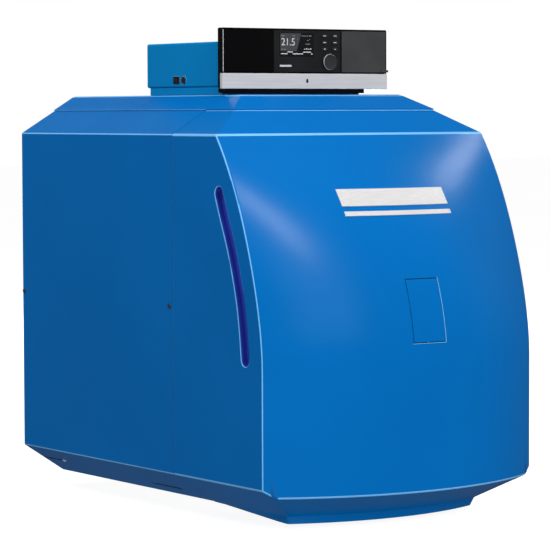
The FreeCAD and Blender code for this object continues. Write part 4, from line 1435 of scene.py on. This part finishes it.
        def flute(place: Vector, normal: Vector) -> bool:
            """Tell whether a face of the rim lies in a flute."""
            turn = math.degrees(math.atan2(place.z - z, place.x - x)) % self.flute_pitch
            return abs(normal.y) < 0.1 and turn < self.flute_pitch / 2

        Bench.pick(grip, "FACE", flute)
        bpy.ops.mesh.inset(thickness=0.00015, depth=-0.0005, use_individual=True)
        Bench.leave()
        for inward, move in self.knob_steps:
            Bench.pick(grip, "FACE",
                       lambda place, normal: normal.y < -0.9 and radial(place) < 0.002)
            bpy.ops.mesh.inset(thickness=inward, depth=0.0)
            bpy.ops.transform.translate(value=(0.0, move, 0.0))
            Bench.leave()
        Bench.smooth(grip, 40.0)
        self.place(grip, "grey_plastic", ["control_knob"], "control_knob")
        rim = Bench.hoop("knob_rim", (x, face + 0.0011, z), self.knob_radius - 0.0004, 0.0010, 72)
        Bench.smooth(rim, 60.0)
        self.place(rim, "silver_trim", body="control_knob")

    def strip_mark(self) -> None:
        """Put the small drop on the light strip."""
        x, z = self.strip_sign
        Bench.clear()
        bpy.ops.mesh.primitive_cylinder_add(vertices=32, radius=0.0026, depth=0.0006,
                                            location=(x, self.strip_y, z),
                                            rotation=(math.pi / 2, 0.0, 0.0))
        drop = Bench.settle("strip_drop")
        Bench.pick(drop, "EDGE",
                   lambda place, along: abs(along.y) > 0.9 and place.z > z + 0.0023)
        bpy.ops.transform.translate(value=(0.0, 0.0, 0.0028), use_proportional_edit=True,
                                    proportional_edit_falloff="SHARP", proportional_size=0.0042)
        Bench.leave()
        Bench.smooth(drop, 30.0)
        self.place(drop, "dark_mark")

    def build(self) -> None:
        """Build everything on the control unit's front."""
        self.display()
        self.key_marks()
        self.knob()
        self.strip_mark()


# ---------------------------------------------------------------- small fittings


@dataclass
class SideFittings(Assembly):
    """The mains switch's frame and the fuse holder on the control housing's left side."""

    wall_x: float = -0.180
    frame_insets: tuple[float, float] = (0.0021, 0.0028)

    def fuse(self) -> None:
        """Build the fuse holder's slotted cap and its ring."""
        low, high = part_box("fuse_cap")
        y, z = (low.y + high.y) / 2, (low.z + high.z) / 2
        cap = Bench.drum("fuse_head", (self.wall_x + 0.010, y, z), "X", 0.0070, -0.0128, 8)
        Bench.round_edges(cap, 0.0008, 3, 40.0)
        Bench.cut(cap, [Bench.block("slot_cutter", (self.wall_x - 0.004, y - 0.0045, z - 0.0007),
                                    (self.wall_x - 0.0018, y + 0.0045, z + 0.0007))])
        Bench.smooth(cap)
        self.place(cap, "black_plastic", ["fuse_cap"], "fuse_cap")
        ring = Bench.drum("fuse_ring", (self.wall_x - 0.0001, y, z), "X", 0.0082, -0.0007, 48)
        inner = Bench.drum("ring_cutter", (self.wall_x + 0.002, y, z), "X", 0.0073, -0.006, 48)
        Bench.cut(ring, [inner])
        Bench.round_edges(ring, 0.0002, 2, 40.0)
        Bench.smooth(ring)
        # A thin pale blue ring round the cap, in the same finish as the painted fold highlights.
        self.place(ring, "fold_paint")

    def switch(self) -> None:
        """Build the light frame round the mains switch."""
        low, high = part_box("switch_body")
        outer, inner = self.frame_insets
        frame = Bench.block("switch_frame", (self.wall_x - 0.0006, low.y + outer, low.z + outer),
                            (self.wall_x - 0.0001, high.y - outer, high.z - outer))
        Bench.cut(frame, [Bench.block(
            "frame_cutter", (self.wall_x - 0.002, low.y + inner, low.z + inner),
            (self.wall_x + 0.002, high.y - inner, high.z - inner))])
        Bench.round_edges(frame, 0.0002, 2, 40.0)
        # A thin pale blue frame, in the same finish as the painted fold highlights.
        self.place(frame, "fold_paint")

    def build(self) -> None:
        """Build both fittings."""
        self.fuse()
        self.switch()


@dataclass
class Fasteners(Assembly):
    """Pan-head screws, grommets and seals on the rear panel and the burner."""

    rear_y: float = 0.440
    head_radius: float = 0.0042
    seal_thickness: float = 0.0024
    rear_screws: tuple[tuple[float, float], ...] = (
        (-0.282, 0.16), (-0.282, 0.40), (-0.282, 0.64), (0.282, 0.16), (0.282, 0.40), (0.282, 0.64),
        (-0.12, 0.752), (0.12, 0.752), (-0.15, 0.040), (0.15, 0.040))
    air_box_screws: tuple[tuple[float, float], ...] = (
        (-0.295, 0.195), (-0.135, 0.195), (-0.295, 0.385), (-0.135, 0.385))
    wall_holes: tuple[Point, ...] = (
        (-0.165, 0.620, 0.0175), (-0.165, 0.160, 0.0175), (0.165, 0.160, 0.0125),
        (0.0, 0.550, 0.0715))

    def pan_head(self, radius: float) -> bpy.types.Object:
        """Return a cross-recessed pan head that stands on the origin and points along +Y.

        Args:
            radius: the head's radius.

        Returns:
            The head.
        """
        head = Bench.drum("pan_head", (0.0, 0.0, 0.0), "Y", radius, radius * 0.6, 24)
        Bench.round_edges(head, radius * 0.28, 3, 40.0)
        arm, width, deep = radius * 0.55, radius * 0.11, radius * 0.25
        for reach_x, reach_z in ((arm, width), (width, arm)):
            Bench.cut(head, [Bench.block("recess", (-reach_x, deep, -reach_z),
                                         (reach_x, radius, reach_z))])
        Bench.smooth(head)
        return head

    def screws(self) -> None:
        """Put the screws in the rear panel and in the air box."""
        head = self.pan_head(self.head_radius)
        copies = [Bench.copy(head, "rear_screw", (x, self.rear_y - 0.0002, z))
                  for x, z in self.rear_screws]
        self.place(Bench.join("rear_panel_screws", copies), "bright_steel")
        low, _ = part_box("air_box")
        heads = []
        for y, z in self.air_box_screws:
            twin = Bench.copy(head, "box_screw", (0.0, 0.0, 0.0))
            twin.rotation_euler = (0.0, 0.0, math.pi / 2)
            twin.location = (low.x + 0.0002, y, z)
            Bench.apply_place(twin)
            heads.append(twin)
        self.place(Bench.join("air_box_screw_heads", heads), "bright_steel")
        bpy.data.objects.remove(head, do_unlink=True)

    def seals(self) -> None:
        """Put grommets round the pipes and a sealing ring round the flue spigot."""
        rings = [Bench.hoop("seal", (x, self.rear_y + 0.001, z), radius + 0.0020,
                            self.seal_thickness, 64) for x, z, radius in self.wall_holes]
        seals = Bench.join("pipe_seals", rings)
        Bench.smooth(seals, 60.0)
        self.place(seals, "black_plastic")

    def build(self) -> None:
        """Build all small fixings."""
        self.screws()
        self.seals()


# ---------------------------------------------------------------- softened CAD shapes


@dataclass
class Softened(Assembly):
    """Pieces whose CAD shape is right: each gets worked edges of its own width."""

    frame: dict[str, Any] = field(default_factory=dict)
    default_width: float = 0.0006
    sharp: float = 32.0
    skipped: tuple[str, ...] = (
        "front_section", "middle_sections", "rear_section", "tie_rods", "block_insulation",
        "circuit_board", "mixing_disc", "nozzle_line")
    widths: dict[str, float] = field(default_factory=lambda: {
        "control_housing": 0.0007, "control_plinth": 0.0008, "control_bezel": 0.0010,
        "display_glass": 0.0003, "right_cover": 0.0009, "burner_door": 0.0030,
        "burner_flange": 0.0020, "burner_housing": 0.0025, "air_box": 0.0030,
        "burner_motor": 0.0015, "oil_pump": 0.0018, "ignition_transformer": 0.0025,
        "burner_control_box": 0.0025, "rear_panel": 0.0005, "base_tray": 0.0005,
        "inner_front_frame": 0.0005, "casing_screws": 0.0004, "flue_collector": 0.0015,
        "levelling_feet": 0.0010, "fan_wheel": 0.0003})
    other_finish: dict[str, str] = field(default_factory=lambda: {
        "right_cover": "cover_grey", "casing_screws": "dark_screw", "control_housing": "unit_blue",
        "control_plinth": "unit_blue", "display_module": "module_grey"})

    def soften(self, node: str, slot: str, body: str) -> None:
        """Copy one CAD shape, merge it, and round its edges.

        Args:
            node: the CAD node's name.
            slot: its recorded finish.
            body: the body it rides on.
        """
        twin = self.frame["nodes"][node].copy()
        twin.data = twin.data.copy()
        for key in list(twin.keys()):
            del twin[key]
        twin.parent = None
        bpy.context.scene.collection.objects.link(twin)
        twin.name = f"{node}_worked"
        twin.data.name = twin.name
        Bench.only(twin)
        if twin.data.has_custom_normals:
            bpy.ops.mesh.customdata_custom_splitnormals_clear()
        Bench.open_whole(twin)
        bpy.ops.mesh.remove_doubles(threshold=MERGE_GAP)
        bpy.ops.mesh.dissolve_limited(angle_limit=math.radians(0.6))
        Bench.leave()
        Bench.round_edges(twin, self.widths.get(node, self.default_width), 2, self.sharp)
        Bench.smooth(twin, self.sharp)
        self.place(twin, slot, [node], body)
        if node in self.other_finish:
            twin.data.materials[0] = self.paints.materials[self.other_finish[node]]

    def build(self) -> None:
        """Soften every CAD node that nothing has replaced yet, except the skipped ones."""
        record = self.frame["record"]
        bodies = {node: body for body, nodes in record["behaviour"]["bodies"].items()
                  for node in nodes}
        for entry in record["subparts"]:
            node = entry["node"]
            if node not in self.skipped and not self.frame["nodes"][node].hide_render:
                self.soften(node, entry["material_slot"], bodies[node])


# ---------------------------------------------------------------- studio


class Reach(Enum):
    """What a lamp is for."""

    FILL = "fill"
    GLEAM = "gleam"


@dataclass(frozen=True)
class Lamp:
    """A soft box."""

    name: str
    reach: Reach
    place: Point
    target: Point
    size: tuple[float, float]
    power: float

    def hang(self) -> None:
        """Hang the soft box; fills stay out of reflections."""
        data = bpy.data.lights.new(self.name, "AREA")
        data.shape = "ELLIPSE" if self.reach is Reach.GLEAM else "RECTANGLE"
        data.size, data.size_y = self.size
        data.energy = self.power
        lamp = bpy.data.objects.new(self.name, data)
        bpy.context.scene.collection.objects.link(lamp)
        lamp.location = self.place
        aim = Vector(self.target) - Vector(self.place)
        lamp.rotation_euler = aim.to_track_quat("-Z", "Y").to_euler()
        lamp.visible_glossy = self.reach is Reach.GLEAM


LAMPS = (
    Lamp("key", Reach.FILL, (-0.6, -4.8, 2.2), (0.0, -0.3, 0.4), (2.2, 2.2), 135.0),
    Lamp("top", Reach.FILL, (0.0, -0.4, 3.6), (0.0, 0.0, 0.8), (2.6, 2.6), 20.0),
    Lamp("left_top", Reach.FILL, (-2.6, 0.7, 3.5), (-0.2, 0.1, 0.6), (1.8, 1.8), 88.0),
    Lamp("side_fill", Reach.FILL, (-4.2, -0.6, 0.35), (-0.3, 0.0, 0.2), (2.2, 0.6), 3.0),
    Lamp("floor_bounce", Reach.FILL, (-1.4, -1.8, -1.8), (0.0, -0.1, 0.0), (2.6, 2.6), 30.0),
    Lamp("back_fill", Reach.FILL, (1.5, 4.6, 2.6), (0.0, 0.3, 0.4), (2.2, 2.2), 110.0),
    Lamp("right_fill", Reach.FILL, (4.6, -0.6, 1.8), (0.3, 0.0, 0.4), (2.0, 2.0), 22.0),
    Lamp("front_gleam", Reach.GLEAM, (-0.45, -3.65, 3.75), (0.0, -0.4, 0.6), (0.55, 1.1), 58.0),
    Lamp("edge_gleam", Reach.GLEAM, (3.7, -0.6, 3.5), (0.2, -0.3, 0.7), (0.5, 0.6), 20.0),
    Lamp("rear_gleam", Reach.GLEAM, (2.8, 4.2, 0.5), (0.0, 0.4, 0.4), (1.4, 0.9), 45.0),
)


@dataclass
class Studio:
    """Camera, lights, world and floor."""

    camera_place: Point = (-2.95167, -4.33595, 0.73944)
    yaw: float = 0.5985
    pitch: float = 0.0592
    roll: float = -0.0033
    lens: float = 179.74
    room_light: float = 0.22
    room_gloss: float = 0.075

    def place_camera(self) -> None:
        """Put the camera at the front left, a little above the casing's middle."""
        data = bpy.data.cameras.new("studio_camera")
        data.sensor_fit = "HORIZONTAL"
        data.sensor_width = 36.0
        data.lens = self.lens
        data.clip_end = 60.0
        camera = bpy.data.objects.new("studio_camera", data)
        bpy.context.scene.collection.objects.link(camera)
        forward = Vector((math.sin(self.yaw) * math.cos(self.pitch),
                          math.cos(self.yaw) * math.cos(self.pitch), -math.sin(self.pitch)))
        right = Vector((math.cos(self.yaw), -math.sin(self.yaw), 0.0))
        up = right.cross(forward)
        turned_right = right * math.cos(self.roll) + up * math.sin(self.roll)
        turned_up = up * math.cos(self.roll) - right * math.sin(self.roll)
        matrix = Matrix((turned_right, turned_up, -forward)).transposed().to_4x4()
        matrix.translation = Vector(self.camera_place)
        camera.matrix_world = matrix
        bpy.context.scene.camera = camera

    def lay_floor(self) -> None:
        """Lay a wide pale floor."""
        Bench.clear()
        bpy.ops.mesh.primitive_plane_add(size=60.0, location=(0.0, 0.0, 0.0))
        floor = bpy.context.active_object
        floor.name = "floor"
        board = Board("pale_floor")
        colour = board.mix(board.noise(1.5).between(0.3, 0.7), (0.28, 0.28, 0.28),
                           (0.30, 0.30, 0.30))
        board.feed(Base_Color=colour, Roughness=0.8, Specular_IOR_Level=0.0,
                   Emission_Color=(1.0, 1.0, 1.0), Emission_Strength=0.92)
        floor.data.materials.append(board.material)
        floor.visible_diffuse = False
        floor.visible_glossy = False
        floor.visible_shadow = False

    def light_world(self) -> None:
        """Fill the room with soft white light behind a white background."""
        world = bpy.data.worlds.new("studio_world")
        world.use_nodes = True
        tree = world.node_tree
        background = tree.nodes["Background"]
        background.inputs["Color"].default_value = (1.0, 1.0, 1.0, 1.0)
        path = tree.nodes.new("ShaderNodeLightPath")
        level = None
        for output, strength in (("Is Glossy Ray", self.room_gloss), ("Is Camera Ray", 1.0)):
            mix = tree.nodes.new("ShaderNodeMix")
            tree.links.new(path.outputs[output], mix.inputs[0])
            if level is None:
                mix.inputs[2].default_value = self.room_light
            else:
                tree.links.new(level, mix.inputs[2])
            mix.inputs[3].default_value = strength
            level = mix.outputs[0]
        tree.links.new(level, background.inputs["Strength"])
        bpy.context.scene.world = world
        bpy.context.scene.view_settings.view_transform = "Standard"

    def build(self) -> None:
        """Set up the whole studio."""
        self.place_camera()
        for lamp in LAMPS:
            lamp.hang()
        self.lay_floor()
        self.light_world()


def main() -> None:
    """Build the looks around the frame."""
    logging.basicConfig(level=logging.INFO, format="%(name)s: %(message)s")
    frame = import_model()
    paints = Paints()
    paints.repaint(frame["nodes"], frame["record"])
    Studio().build()
    Hood(paints).build()
    Casing(paints).build()
    ControlUnit(paints).build()
    SideFittings(paints).build()
    Fasteners(paints).build()
    Softened(paints, frame=frame).build()


if __name__ == "__main__":
    main()
